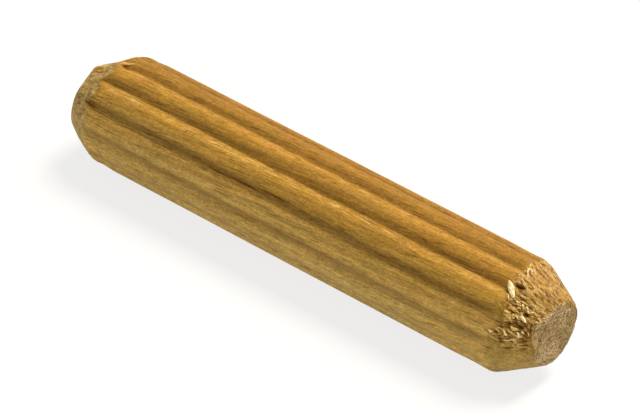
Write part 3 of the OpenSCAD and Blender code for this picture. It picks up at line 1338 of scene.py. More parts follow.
@dataclass
class FibreLoops:
    """Fibres bent up into small arches beside the torn notches."""

    surface: PinSurface
    sides: int = 8
    rows: int = 13
    sunk: float = -0.04
    lean: float = 0.3
    flatness: float = 0.7
    swell: Range = (0.75, 0.35)
    loops: tuple[FibreLoop, ...] = (
        FibreLoop((95.2, 2.30), (86.4, 2.38), (89.2, 2.63), 0.09, 0.070, 0.74),
        FibreLoop((104.2, 2.56), (107.2, 2.04), (103.6, 2.26), 0.09, 0.050, 0.62),
        FibreLoop((102.4, 2.70), (97.6, 2.62), (99.6, 2.76), 0.02, 0.055, 0.30),
        FibreLoop((84.0, 2.62), (79.4, 2.58), (81.8, 2.74), 0.01, 0.050, 0.45),
    )

    def build(self) -> bpy.types.Object:
        """Bend the loops and join them in one piece.

        Returns:
            The finished mesh object.
        """
        strands = StrandMesh(self.sides)
        for loop in self.loops:
            self.bend(strands, loop)
        return strands.build("fibre_loops")

    def bend(self, strands: StrandMesh, loop: FibreLoop) -> None:
        """Bend one fibre from foot to foot through its top.

        Args:
            strands: Collection the fibre goes into.
            loop: The fibre.
        """
        a, b, top = (
            self.surface.lie(turn, place * MM, lift * MM)
            for (turn, place), lift in (
                (loop.first_foot, self.sunk), (loop.second_foot, self.sunk), (loop.top, loop.rise)
            )
        )
        turn = math.radians(loop.top[0])
        up = np.array([self.lean, math.cos(turn), math.sin(turn)])
        t = np.linspace(0.0, 1.0, self.rows)[:, None]
        climb = (top - (a + b) / 2.0) * 4.0 / 3.0
        spine = a * (1 - t) ** 2 * (1 + 2 * t) + b * t**2 * (3 - 2 * t) + 3.0 * climb * t * (1 - t)
        least, more = self.swell
        swell = least + more * np.sin(np.linspace(0.0, math.pi, self.rows))
        half = loop.half * MM
        strands.add(spine, up, half * swell, half * self.flatness * swell, loop.tone)


@dataclass(frozen=True)
class Rib:
    """A wave round the splinter that winds along it, in its section or in its tone."""

    height: float
    count: float
    winding: float
    start: float

    def at(self, turn: np.ndarray, t: np.ndarray) -> np.ndarray:
        """Height of the wave at each angle and share of the length."""
        return self.height * np.sin(turn * self.count + t * self.winding + self.start)


@dataclass
class LongSplinter:
    """The leaf-shaped splinter that stands up at the shoulder of the torn end."""

    surface: PinSurface
    foot: Range = (123.6, 2.22 * MM)
    tip: Range = (111.6, 3.02 * MM)
    foot_lift: float = 0.04 * MM
    tip_lift: float = 0.10 * MM
    half_wide: float = 0.205 * MM
    half_thick: float = 0.075 * MM
    bow: float = 0.05 * MM
    lean: float = 0.25
    widths: Knots = (
        (0.0, 0.40), (0.12, 0.62), (0.3, 0.82), (0.55, 1.0), (0.75, 0.80), (0.9, 0.42), (1.0, 0.04),
    )
    thicks: Knots = ((0.0, 0.9), (0.15, 1.2), (0.5, 1.0), (0.85, 0.7), (1.0, 0.1))
    ribs: tuple[Rib, ...] = (Rib(0.10, 5.0, 4.0, 0.0), Rib(0.06, 9.0, 0.0, 1.0))
    tone: float = 0.86
    tone_wave: Rib = Rib(0.12, 0.0, 5.0, 0.0)
    streaks: tuple[Rib, Rib] = (Rib(1.0, 3.0, 2.0, 0.0), Rib(1.0, 0.0, 11.0, 0.0))
    streak_share: float = 0.22
    around: int = 20
    rows: int = 24

    def build(self) -> bpy.types.Object:
        """Model the splinter from a cylinder.

        Returns:
            The finished mesh object.
        """
        foot = self.surface.lie(*self.foot, self.foot_lift)
        tip = self.surface.lie(*self.tip, self.tip_lift)
        bpy.ops.object.select_all(action="DESELECT")
        bpy.ops.mesh.primitive_cylinder_add(vertices=self.around, radius=1.0, depth=1.0)
        leaf = bpy.context.active_object
        leaf.name = "long_splinter"
        bpy.ops.object.mode_set(mode="EDIT")
        bpy.ops.mesh.select_mode(type="EDGE")
        mesh = bmesh.from_edit_mesh(leaf.data)
        for edge in mesh.edges:
            edge.select_set(abs(edge.verts[0].co.z - edge.verts[1].co.z) > 0.5)
        bmesh.update_edit_mesh(leaf.data)
        bpy.ops.mesh.subdivide(number_cuts=self.rows)
        bpy.ops.object.mode_set(mode="OBJECT")
        self.shape(leaf, foot, tip)
        return leaf

    def shape(self, leaf: bpy.types.Object, foot: np.ndarray, tip: np.ndarray) -> None:
        """Flatten the rod into a leaf that runs from foot to tip.

        Args:
            leaf: The rod's object.
            foot: Place of the leaf's foot.
            tip: Place of its tip.
        """
        mesh = leaf.data
        co = np.empty(len(mesh.vertices) * 3, np.float64)
        mesh.vertices.foreach_get("co", co)
        co = co.reshape(-1, 3)
        t = np.clip(co[:, 2] + 0.5, 0.0, 1.0)
        turn = np.arctan2(co[:, 1], co[:, 0])
        wide, thick = (np.interp(t, *zip(*table)) for table in (self.widths, self.thicks))
        ribs = 1.0
        for rib in self.ribs:
            ribs = ribs + rib.at(turn, t)
        along = tip - foot
        middle = (foot + tip) / 2.0
        out = np.array([self.lean, middle[1], middle[2] - self.surface.form.axis_z])
        out[1:] /= np.linalg.norm(out[1:])
        out -= along * np.dot(out, along) / np.dot(along, along)
        out /= np.linalg.norm(out)
        side = np.cross(out, along / np.linalg.norm(along))
        bow = self.bow * np.sin(t * math.pi)
        across = np.cos(turn) * wide * ribs * self.half_wide
        over = np.sin(turn) * thick * ribs * self.half_thick + bow
        placed = foot + along * t[:, None] + side * across[:, None] + out * over[:, None]
        mesh.vertices.foreach_set("co", placed.ravel().astype(np.float32))
        mesh.update()
        mesh.shade_smooth()
        long_streak, short_streak = (wave.at(turn, t) for wave in self.streaks)
        tone = self.tone + self.tone_wave.at(turn, t)
        PinBody.store(mesh, "tone", tone + self.streak_share * (long_streak * short_streak))


@dataclass
class LiftedFlake:
    """A strip of ridge that has lifted where the clean end's shoulder was pressed."""

    surface: PinSurface
    sides: int = 8
    line: Knots = ((94.0, 1.45), (92.2, 1.85), (90.0, 2.25), (87.4, 2.6), (84.6, 2.85))
    half_wide: tuple[float, ...] = (0.06, 0.17, 0.22, 0.18, 0.04)
    half_thick: tuple[float, ...] = (0.04, 0.08, 0.10, 0.07, 0.03)
    up: Colour = (-0.2, 0.0, 1.0)
    sunk: float = 0.02 * MM
    tone: float = 0.20

    def build(self) -> bpy.types.Object:
        """Lay the strip along the shoulder.

        Returns:
            The finished mesh object.
        """
        form = self.surface.form
        strands = StrandMesh(self.sides)
        spine = []
        for degrees, from_clean in self.line:
            x = -form.half_l + from_clean * MM
            spine.append(form.point(degrees, x, self.surface.radius_at(degrees, x) - self.sunk))
        wide, thick = np.array(self.half_wide) * MM, np.array(self.half_thick) * MM
        strands.add(np.array(spine), np.array(self.up), wide, thick, self.tone)
        return strands.build("lifted_flake")


class Graph:
    """Adds and joins nodes in one node tree."""

    def __init__(self, tree: bpy.types.NodeTree) -> None:
        """Work in the given tree."""
        self.tree = tree

    def node(self, kind: str, **settings: object) -> bpy.types.Node:
        """Add a node and set its options.

        Args:
            kind: Type name of the node.
            settings: Names and values of its options.

        Returns:
            The new node.
        """
        made = self.tree.nodes.new(kind)
        for name, value in settings.items():
            setattr(made, name, value)
        return made

    def feed(self, socket: bpy.types.NodeSocket, value: Value) -> None:
        """Join a socket to another one, or give it a plain value.

        Args:
            socket: Input to set.
            value: Output to join it to, or a number, a vector or a colour.
        """
        if isinstance(value, bpy.types.NodeSocket):
            self.tree.links.new(value, socket)
        elif socket.type == "RGBA":
            socket.default_value = (*value, 1.0)
        else:
            socket.default_value = value

    def made(self, kind: str, result: int | str, inputs: dict, **settings: object) -> Value:
        """Add a node, feed it and return one of its results.

        Args:
            kind: Type name of the node.
            result: Name or number of the output that is returned.
            inputs: Values by the name or number of each input.
            settings: Names and values of its options.

        Returns:
            The output's socket.
        """
        node = self.node(kind, **settings)
        for key, value in inputs.items():
            self.feed(node.inputs[key], value)
        return node.outputs[result]

    def math(self, operation: str, a: Value, b: Value = 0.0, clamp: bool = False) -> Value:
        """Result of a Math node."""
        return self.made("ShaderNodeMath", 0, {0: a, 1: b}, operation=operation, use_clamp=clamp)

    def times(self, a: Value, b: Value, clamp: bool = False) -> Value:
        """Product of two numbers."""
        return self.math("MULTIPLY", a, b, clamp)

    def total(self, *parts: tuple[Value, float]) -> Value:
        """Add up values that are each multiplied by a weight.

        Args:
            parts: Each value with its weight.

        Returns:
            The sum's socket.
        """
        first, *others = (self.times(value, weight) for value, weight in parts)
        for other in others:
            first = self.math("ADD", first, other)
        return first

    def vector(self, operation: str, a: Value, b: Value) -> Value:
        """Vector that a Vector Math node makes of two vectors."""
        return self.made("ShaderNodeVectorMath", "Vector", {0: a, 1: b}, operation=operation)

    def scaled(self, a: Value, factor: Value) -> Value:
        """Vector multiplied by a number."""
        return self.made("ShaderNodeVectorMath", 0, {0: a, "Scale": factor}, operation="SCALE")

    def apart(self, place: Value) -> bpy.types.bpy_prop_collection:
        """Outputs of a node that takes a vector apart."""
        node = self.node("ShaderNodeSeparateXYZ")
        self.feed(node.inputs[0], place)
        return node.outputs

    def joined(self, x: Value, y: Value = 0.0, z: Value = 0.0) -> Value:
        """Vector made of three numbers."""
        return self.made("ShaderNodeCombineXYZ", 0, {0: x, 1: y, 2: z})

    def remap(
        self, value: Value, low: float, high: float, start: float = 0.0, stop: float = 1.0
    ) -> Value:
        """Ease a value from one range to another.

        Args:
            value: Value to change.
            low: Start of its range.
            high: End of its range.
            start: Result at the start.
            stop: Result at the end.

        Returns:
            The result's socket.
        """
        names = ("Value", "From Min", "From Max", "To Min", "To Max")
        inputs = dict(zip(names, (value, low, high, start, stop)))
        return self.made("ShaderNodeMapRange", "Result", inputs, interpolation_type="SMOOTHSTEP")

    def mix(self, share: Value, a: Value, b: Value, blend: str = "MIX") -> Value:
        """Mix two colours.

        Args:
            share: How much of the second colour shows.
            a: First colour.
            b: Second colour.
            blend: Way in which they are mixed.

        Returns:
            The mixed colour's socket.
        """
        inputs = {0: share, 6: a, 7: b}
        return self.made("ShaderNodeMix", 2, inputs, data_type="RGBA", blend_type=blend)

    def blend(self, share: Value, a: Value, b: Value) -> Value:
        """Mix of two plain numbers."""
        return self.made("ShaderNodeMix", 0, {0: share, 2: a, 3: b}, data_type="FLOAT")

    def tint(self, colour: Value, by: Value) -> Value:
        """Product of two colours."""
        return self.mix(1.0, colour, by, "MULTIPLY")

    def toned(self, share: Value, colour: Value, by: Colour) -> Value:
        """Colour that is partly tinted."""
        return self.mix(share, colour, self.tint(colour, by))

    def filtered(self, share: Value, colour: Value, by: Colour) -> Value:
        """Colour multiplied by a tint that comes in from white."""
        return self.tint(colour, self.mix(share, WHITE, by))

    def shade(self, colour: Value, factor: Value) -> Value:
        """Colour multiplied by a plain number."""
        grey = self.made("ShaderNodeCombineColor", 0, {0: factor, 1: factor, 2: factor})
        return self.tint(colour, grey)

    def attribute(self, name: str, output: str = "Fac") -> Value:
        """Value of a named attribute of the mesh."""
        return self.node("ShaderNodeAttribute", attribute_name=name).outputs[output]

    def group(self, tree: bpy.types.NodeTree, **inputs: Value) -> bpy.types.bpy_prop_collection:
        """Add a node group and feed its inputs by name.

        Args:
            tree: Tree of the group.
            inputs: Values by the name of each input.

        Returns:
            The outputs of the group's node.
        """
        node = self.node("ShaderNodeGroup", node_tree=tree)
        for name, value in inputs.items():
            self.feed(node.inputs[name], value)
        return node.outputs


@dataclass(frozen=True)
class Grain:
    """One layer of noise drawn out along the fibres, with cells counted for each millimetre.

    Amount is how far the layer changes a tone, and height how far it stands out in millimetres.
    Where a range is kept, only the noise in that range shows.
    """

    along: float
    across: float
    detail: float = 1.0
    amount: float = 0.0
    height: float = 0.0
    kept: Optional[Range] = None


class NodeGroups:
    """The shared effects, each built once."""

    fibre_slope: Colour = (0.0, 0.060, 0.064)
    fibre_rough: float = 0.55
    noise_range: Range = (0.25, 0.75)
    marks_apart: float = 4.8
    marks_round: float = 4.6

    def __init__(self, form: PinForm) -> None:
        """Build the groups for a pin of the given form."""
        self.form = form
        self.fibres = self.make_fibres()
        self.turned = self.make_turned()
        self.side_wood = SideWood(self).make()
        self.end_wood = EndWood(self).make()
        self.torn_wood = TornWood(self).make()

    @staticmethod
    def start(name: str, takes: dict[str, str], gives: dict[str, str]) -> tuple:
        """Start a group.

        Args:
            name: Name of the group.
            takes: Names and socket types of its inputs.
            gives: Names and socket types of its outputs.

        Returns:
            The tree, its graph, the input node's outputs and the output node's inputs.
        """
        tree = bpy.data.node_groups.new(name, "ShaderNodeTree")
        for label, kind in takes.items():
            tree.interface.new_socket(label, in_out="INPUT", socket_type="NodeSocket" + kind)
        for label, kind in gives.items():
            tree.interface.new_socket(label, in_out="OUTPUT", socket_type="NodeSocket" + kind)
        graph = Graph(tree)
        source = graph.node("NodeGroupInput")
        sink = graph.node("NodeGroupOutput")
        return tree, graph, source.outputs, sink.inputs

    def plain_noise(self, graph: Graph, place: Value, detail: Value, **settings: float) -> Value:
        """Noise with cells of one unit, from 0 to 1.

        Args:
            graph: Graph it is added to.
            place: Places to read it at.
            detail: Finer layers it has.
            settings: Other inputs of the noise.

        Returns:
            The noise's socket.
        """
        inputs = {"Vector": place, "Scale": 1.0, "Detail": detail, **settings}
        noise = graph.made("ShaderNodeTexNoise", 0, inputs, noise_dimensions="3D")
        return graph.remap(noise, *self.noise_range)

    def make_fibres(self) -> bpy.types.NodeTree:
        """Noise drawn out along the wood's fibres, from 0 to 1.

        Returns:
            The group's tree.
        """
        numbers = {"Along": "Float", "Across": "Float", "Detail": "Float"}
        takes = {"Place": "Vector", **numbers}
        tree, graph, takes, gives = self.start("fibres", takes, {"Value": "Float"})
        drift = graph.scaled(self.fibre_slope, graph.apart(takes["Place"])["X"])
        level = graph.vector("SUBTRACT", takes["Place"], drift)
        cells = graph.joined(takes["Along"], takes["Across"], takes["Across"])
        place = graph.vector("MULTIPLY", level, graph.scaled(cells, 1.0 / MM))
        noise = self.plain_noise(graph, place, takes["Detail"], Roughness=self.fibre_rough)
        graph.feed(gives["Value"], noise)
        return tree

    def make_turned(self) -> bpy.types.NodeTree:
        """Marks of the cutter that turned the chamfers, drawn out round the pin.

        Returns:
            The group's tree.
        """
        tree, graph, takes, gives = self.start("turned_marks", {"Place": "Vector"}, {"Value": "Float"})
        flat = graph.vector("MULTIPLY", takes["Place"], (0.0, 1.0, 1.0))
        wide = graph.made("ShaderNodeVectorMath", "Value", {0: flat}, operation="LENGTH")
        reach = graph.math("ADD", wide, graph.apart(takes["Place"])["X"])
        level = graph.joined(graph.times(reach, self.marks_apart / MM))
        way = graph.made("ShaderNodeVectorMath", "Vector", {0: flat}, operation="NORMALIZE")
        place = graph.vector("ADD", graph.scaled(way, self.marks_round), level)
        graph.feed(gives["Value"], self.plain_noise(graph, place, 1.0))
        return tree

    def noise(self, graph: Graph, place: Value, grain: Grain) -> Value:
        """Add one layer of the fibre noise.

        Args:
            graph: Graph it is added to.
            place: Places to read it at.
            grain: The layer.

        Returns:
            The noise's socket, from 0 to 1.
        """
        cells = {"Along": grain.along, "Across": grain.across, "Detail": grain.detail}
        value = graph.group(self.fibres, Place=place, **cells)["Value"]
        return value if grain.kept is None else graph.remap(value, *grain.kept)

    @staticmethod
    def vary(graph: Graph, value: Value, amount: float) -> Value:
        """Turn a 0 to 1 noise into a factor round 1."""
        return graph.math("ADD", graph.times(value, 2.0 * amount), 1.0 - amount)


@dataclass(frozen=True)
class WoodLook:
    """What the three kinds of wood share: a group that gives a colour and a height."""

    groups: NodeGroups

    def begin(self, name: str, vectors: str, numbers: str) -> tuple:
        """Start the look's group.

        Args:
            name: Name of the group.
            vectors: Names of its vector inputs.
            numbers: Names of its number inputs.

        Returns:
            The tree, its graph, the input node's outputs and the output node's inputs.
        """
        takes = dict.fromkeys(vectors.split(), "Vector") | dict.fromkeys(numbers.split(), "Float")
        return self.groups.start(name, takes, {"Color": "Color", "Height": "Float"})

    def vary(self, graph: Graph, colour: Value, layers: tuple) -> Value:
        """Vary a colour by several layers of noise.

        Args:
            graph: Graph of the look.
            colour: Colour to vary.
            layers: Each noise with the grain it came from.

        Returns:
            The varied colour's socket.
        """
        for noise, grain in layers:
            colour = graph.shade(colour, self.groups.vary(graph, noise, grain.amount))
        return colour

    @staticmethod
    def height(graph: Graph, layers: tuple) -> Value:
        """Height in millimetres of several layers of noise, each given with its grain."""
        return graph.total(*((noise, grain.height) for noise, grain in layers))


@dataclass(frozen=True)
class SideWood(WoodLook):
    """Wood cut along its fibres."""

    # Colour from side to side, partly the wood's own and partly painted light: darker and oranger on
    # the upper back side under the warm key lamp, paler on the lower front side.
    pale_side_way: Colour = (0.0, -0.682, -0.731)
    side_wave: float = 0.34
    side_scale: float = 0.5
    side_start: float = 0.415
    # Colour stops from the upper back side to the lower front side.
    rings: tuple[tuple[float, Colour], ...] = (
        (0.0, (0.375, 0.192, 0.034)),
        (0.5, (0.42, 0.238, 0.047)),
        (1.0, (0.60, 0.405, 0.135)),
    )
    broad: Grain = Grain(0.03, 0.8)
    medium: Grain = Grain(0.07, 2.4, 2.0, amount=0.12, height=0.016)
    fine: Grain = Grain(0.30, 10.5, 2.0, amount=0.14, height=0.010)
    grit: Grain = Grain(5.0, 9.0, amount=0.19)
    short: Grain = Grain(1.6, 9.0, amount=0.13)
    cross: Grain = Grain(4.5, 2.0, amount=0.05)
    fine_hue: Grain = Grain(0.35, 7.0)
    hue: Grain = Grain(0.05, 2.6)
    pores: Grain = Grain(0.60, 9.0, amount=0.75, height=-0.014, kept=(0.80, 0.95))
    # Raised flecks, which also carry the painted glints.
    flecks: Grain = Grain(0.9, 8.5, amount=0.6, height=0.008, kept=(0.74, 0.90))
    patches: Grain = Grain(0.16, 1.2, amount=0.25)
    fine_hues: tuple[Colour, Colour] = ((1.03, 0.98, 0.90), (0.97, 1.02, 1.00))
    hues: tuple[Colour, Colour] = ((1.02, 0.98, 0.88), (0.985, 1.01, 0.98))
    # Painted shade on the smooth torn chamfer, partly its darker cut grain.
    bevel_grain_and_shade: Colour = (0.70, 0.72, 0.66)
    # Strength of the painted highlight on the lit flanks.
    burnish: float = 0.26
    pore: Colour = (0.60, 0.52, 0.42)
    # Tint of the painted shade along the grooves.
    groove_shade: Colour = (0.58, 0.56, 0.52)
    # Colour of the painted glints.
    glint_colour: Colour = (0.80, 0.56, 0.25)

    def sided_colour(self, graph: Graph, place: Value) -> Value:
        """Colour from one side of the pin to the other, partly the wood's own and partly painted
        light.

        Args:
            graph: Graph of the look.
            place: Places in the pin's frame.

        Returns:
            The colour's socket.
        """
        form = self.groups.form
        centred = graph.vector("SUBTRACT", place, (0.0, 0.0, form.axis_z))
        ways = {0: centred, 1: self.pale_side_way}
        rings = graph.made("ShaderNodeVectorMath", "Value", ways, operation="DOT_PRODUCT")
        rings = graph.math("DIVIDE", rings, form.radius)
        broad = self.groups.noise(graph, place, self.broad)
        rings = graph.math("ADD", rings, graph.times(broad, self.side_wave))
        rings = graph.math("ADD", graph.times(rings, self.side_scale), self.side_start)
        ramp = graph.node("ShaderNodeValToRGB")
        graph.feed(ramp.inputs[0], rings)
        stops = ramp.color_ramp.elements
        for at, _ in self.rings[1:-1]:
            stops.new(at)
        for element, (at, colour) in zip(stops, self.rings):
            element.position = at
            element.color = (*colour, 1.0)
        return ramp.outputs[0]

    def make(self) -> bpy.types.NodeTree:
        """Build the group.

        Returns:
            The group's tree.
        """
        tree, graph, takes, gives = self.begin("side_wood", "Place", "Valley Lip Burnish Bevel")
        place = takes["Place"]
        colour = self.sided_colour(graph, place)
        tones = (self.medium, self.fine, self.grit, self.short, self.cross)
        layers = tuple((self.groups.noise(graph, place, grain), grain) for grain in tones)
        (medium, _), (fine, _), *_ = layers
        fine_hue, hue, pores, flecks, patches = (
            self.groups.noise(graph, place, grain)
            for grain in (self.fine_hue, self.hue, self.pores, self.flecks, self.patches)
        )
        colour = self.vary(graph, colour, layers)
        colour = graph.tint(colour, graph.mix(fine_hue, *self.fine_hues))
        # Painted shade on the smooth torn chamfer, partly its darker cut grain.
        colour = graph.toned(takes["Bevel"], colour, self.bevel_grain_and_shade)
        # Painted highlight on the lit flank beside each groove.
        burnish = graph.math("ADD", graph.times(takes["Burnish"], self.burnish), 1.0)
        colour = graph.tint(graph.shade(colour, burnish), graph.mix(hue, *self.hues))
        colour = graph.toned(graph.times(pores, self.pores.amount), colour, self.pore)
        patchy = self.groups.vary(graph, patches, self.patches.amount)
        # Painted shade along the grooves, in the band stored as valley.
        colour = graph.toned(graph.times(takes["Valley"], patchy, True), colour, self.groove_shade)
        # Painted glints: pale flecks beside the grooves on the side facing the key lamp.
        pale = graph.times(graph.times(flecks, takes["Lip"]), self.flecks.amount)
        graph.feed(gives["Color"], graph.mix(pale, colour, self.glint_colour))
        raised = ((fine, self.fine), (medium, self.medium), (pores, self.pores), (flecks, self.flecks))
        graph.feed(gives["Height"], self.height(graph, raised))
        return tree


@dataclass(frozen=True)
class EndWood(WoodLook):
    """Wood cut across its fibres."""

    cells: Grain = Grain(1.8, 3.9, 2.0, amount=0.28, height=0.050)
    fine: Grain = Grain(3.2, 6.8, amount=0.26, height=0.020)
    broad: Grain = Grain(0.6, 0.8)
    bright: Grain = Grain(2.6, 5.0, amount=0.6, kept=(0.68, 0.86))
    marks: float = 0.46
    tones: Range = (0.28, 0.70)
    woods: tuple[Colour, Colour] = ((0.195, 0.124, 0.042), (0.585, 0.395, 0.175))
    hues: tuple[Colour, Colour] = ((0.90, 0.95, 0.88), (1.10, 1.04, 1.10))
    spark: Colour = (0.76, 0.62, 0.38)
    # Painted light that lifts the clean end, which faces away from the key lamp, with a warmer tint.
    clean_light_and_tint: Colour = (1.13, 1.09, 0.76)
    clean_woods: tuple[Colour, Colour] = ((0.32, 0.205, 0.052), (0.47, 0.32, 0.095))
    clean_share: float = 0.45
    clean_height: float = 0.7
    pale_tint: Colour = (1.34, 1.36, 1.60)
    dim_tint: Colour = (0.76, 0.76, 0.62)

    def make(self) -> bpy.types.NodeTree:
        """Build the group.

        Returns:
            The group's tree.
        """
        tree, graph, takes, gives = self.begin("end_wood", "Place", "Marks Pale Dim Clean")
        cells, fine, broad, bright = (
            self.groups.noise(graph, takes["Place"], grain)
            for grain in (self.cells, self.fine, self.broad, self.bright)
        )
        clean = takes["Clean"]
        parts = (cells, self.cells.amount), (fine, self.fine.amount), (takes["Marks"], self.marks)
        tone = graph.remap(graph.total(*parts), *self.tones)
        colour = graph.tint(graph.mix(tone, *self.woods), graph.mix(broad, *self.hues))
        colour = graph.mix(graph.times(bright, self.bright.amount), colour, self.spark)
        # Painted light on the clean end, with a warmer tint.
        colour = graph.filtered(clean, colour, self.clean_light_and_tint)
        smooth = graph.mix(broad, *self.clean_woods)
        colour = graph.mix(graph.times(clean, self.clean_share), colour, smooth)
        colour = graph.filtered(takes["Pale"], colour, self.pale_tint)
        graph.feed(gives["Color"], graph.filtered(takes["Dim"], colour, self.dim_tint))
        height = self.height(graph, ((cells, self.cells), (fine, self.fine)))
        lowered = graph.remap(clean, 0.0, 1.0, 1.0, self.clean_height)
        graph.feed(gives["Height"], graph.times(height, lowered))
        return tree


@dataclass(frozen=True)
class TornWood(WoodLook):
    """Wood with its fibres torn short."""

    strokes: Grain = Grain(3.6, 7.5, 2.0, amount=0.38, height=0.05)
    lines: Grain = Grain(2.4, 12.0, amount=0.18, height=0.012)
    lumps: Grain = Grain(1.3, 2.6, 2.0)
    cuts: Grain = Grain(1.8, 4.4, 2.0, amount=0.8, height=-0.05, kept=(0.62, 0.78))
    light: Grain = Grain(3.0, 6.0, height=0.04, kept=(0.64, 0.84))
    warm: tuple[Colour, Colour] = ((0.42, 0.220, 0.040), (0.64, 0.39, 0.135))
    dull: tuple[Colour, Colour] = ((0.31, 0.168, 0.034), (0.56, 0.345, 0.090))
    gap: Colour = (0.38, 0.30, 0.20)
    # Colour of the painted highlight on the torn crests.
    crest: Colour = (0.78, 0.58, 0.28)

    def make(self) -> bpy.types.NodeTree:
        """Build the group.

        Returns:
            The group's tree.
        """
        tree, graph, takes, gives = self.begin("torn_wood", "Skin", "Rough Tone")
        strokes, lines, lumps, cuts, light = (
            self.groups.noise(graph, takes["Skin"], grain)
            for grain in (self.strokes, self.lines, self.lumps, self.cuts, self.light)
        )
        warm, dull = graph.mix(lumps, *self.warm), graph.mix(lumps, *self.dull)
        colour = graph.mix(takes["Rough"], warm, dull)
        colour = self.vary(graph, colour, ((strokes, self.strokes), (lines, self.lines)))
        colour = graph.toned(graph.times(cuts, self.cuts.amount), colour, self.gap)
        # Painted highlight: pale specks on the raised crests.
        colour = graph.mix(graph.times(light, takes["Tone"]), colour, self.crest)
        graph.feed(gives["Color"], colour)
        raised = ((strokes, self.strokes), (cuts, self.cuts), (light, self.light), (lines, self.lines))
        graph.feed(gives["Height"], self.height(graph, raised))
        return tree


@dataclass(frozen=True)
class WoodFinish:
    """What both finishes share: a material with colour, relief and gloss."""

    groups: NodeGroups
    name: str
    roughness: float
    specular: float

    def look(self, graph: Graph, place: Value) -> tuple[Value, Value, Value]:
        """Colour, height in millimetres and roughness of the wood."""
        raise NotImplementedError

    def material(self) -> bpy.types.Material:
        """Make the material.

        Returns:
            The finished wood.
        """
        made = bpy.data.materials.new(self.name)
        made.use_nodes = True
        graph = Graph(made.node_tree)
        shader = made.node_tree.nodes["Principled BSDF"]
        place = graph.node("ShaderNodeTexCoord").outputs["Object"]
        colour, height, roughness = self.look(graph, place)
        inputs = {"Strength": 1.0, "Distance": MM, "Height": height}
        graph.feed(shader.inputs["Base Color"], colour)
        graph.feed(shader.inputs["Normal"], graph.made("ShaderNodeBump", "Normal", inputs))
        graph.feed(shader.inputs["Roughness"], roughness)
        shader.inputs["Specular IOR Level"].default_value = self.specular
        return made


@dataclass(frozen=True)
class BodyFinish(WoodFinish):
    """Bare pressed hardwood with end grain and torn areas."""

    name: str = "pin_wood"
    roughness: float = 0.58
    specular: float = 0.10
    edge: Grain = Grain(2.0, 3.5, 2.0, amount=0.5)
    torn_edge: Range = (0.35, 0.65)
    end_edge: Range = (0.38, 0.62)
    patches: Grain = Grain(0.4, 4.0, amount=0.4)
    streak: Colour = (0.46, 0.28, 0.06)
    # Painted shade in the floors of the tears and the deepest torn places.
    hollow_shade: Colour = (0.36, 0.17, 0.05)
    hollow_shade_share: float = 0.95

    def look(self, graph: Graph, place: Value) -> tuple[Value, Value, Value]:
        """Mix the three kinds of wood and lay the stains, the painted light and shade and the painted
        shade in the hollows over them.

        Args:
            graph: Graph of the material.
            place: Places in the pin's frame.

        Returns:
            Sockets of the colour, the height in millimetres and the roughness.
        """
        groups, read = self.groups, graph.attribute
        skin = read("skin", "Vector")
        marks = graph.group(groups.turned, Place=skin)["Value"]
        areas = {name: read(name.lower()) for name in ("Valley", "Lip", "Burnish", "Bevel")}
        side = graph.group(groups.side_wood, Place=place, **areas)
        spots = {"Pale": read("pale"), "Dim": read("dim"), "Clean": read("clean_cut")}
        end = graph.group(groups.end_wood, Place=skin, Marks=marks, **spots)
        torn = graph.group(groups.torn_wood, Skin=skin, Rough=read("dull"), Tone=read("crest"))
        edge = graph.math("SUBTRACT", groups.noise(graph, place, self.edge), 0.5)
        edge = graph.times(edge, self.edge.amount)
        any_torn = graph.math("MAXIMUM", read("chipped"), read("cut"))
        torn_share = graph.remap(graph.math("ADD", any_torn, edge), *self.torn_edge)
        end_share = graph.remap(graph.math("ADD", read("end_grain"), edge), *self.end_edge)
        colour = graph.mix(torn_share, side["Color"], torn["Color"])
        colour = graph.mix(end_share, colour, end["Color"])
        patchy = groups.vary(graph, groups.noise(graph, place, self.patches), self.patches.amount)
        streaked = graph.times(read("stain"), patchy, True)
        # The stains, then the painted light and shade stored as band.
        colour = graph.shade(graph.toned(streaked, colour, self.streak), read("band"))
        # Painted shade in the hollows, which also makes them rougher.
        hollow_shade = read("hollow_shade")
        colour = graph.toned(graph.times(hollow_shade, self.hollow_shade_share), colour, self.hollow_shade)
        height = graph.blend(torn_share, side["Height"], torn["Height"])
        height = graph.blend(end_share, height, end["Height"])
        dulled = graph.math("MAXIMUM", hollow_shade, streaked)
        return colour, height, graph.remap(dulled, 0.0, 1.0, self.roughness, 1.0)


@dataclass(frozen=True)
class SplinterFinish(WoodFinish):
    """Fresh pale wood of chips and splinters."""

    name: str = "splinter_wood"
    roughness: float = 0.55
    specular: float = 0.2
    fibres: Grain = Grain(1.5, 11.0, 2.0, amount=0.24, height=0.02)
    dark: Colour = (0.50, 0.265, 0.058)
    golden: Colour = (0.74, 0.50, 0.145)
    pale: Colour = (0.99, 0.85, 0.53)

    def look(self, graph: Graph, place: Value) -> tuple[Value, Value, Value]:
        """Colour the wood from dark to pale by each piece's tone.

        Args:
            graph: Graph of the material.
            place: Places in the pin's frame.

        Returns:
            Sockets of the colour and the height in millimetres, and the roughness.
        """
        fibres = self.groups.noise(graph, place, self.fibres)
        tone = graph.attribute("tone")
        colour = graph.mix(graph.remap(tone, 0.0, 0.5), self.dark, self.golden)
        colour = graph.mix(graph.remap(tone, 0.5, 1.0), colour, self.pale)
        colour = graph.shade(colour, self.groups.vary(graph, fibres, self.fibres.amount))
        return colour, graph.times(fibres, self.fibres.height), self.roughness


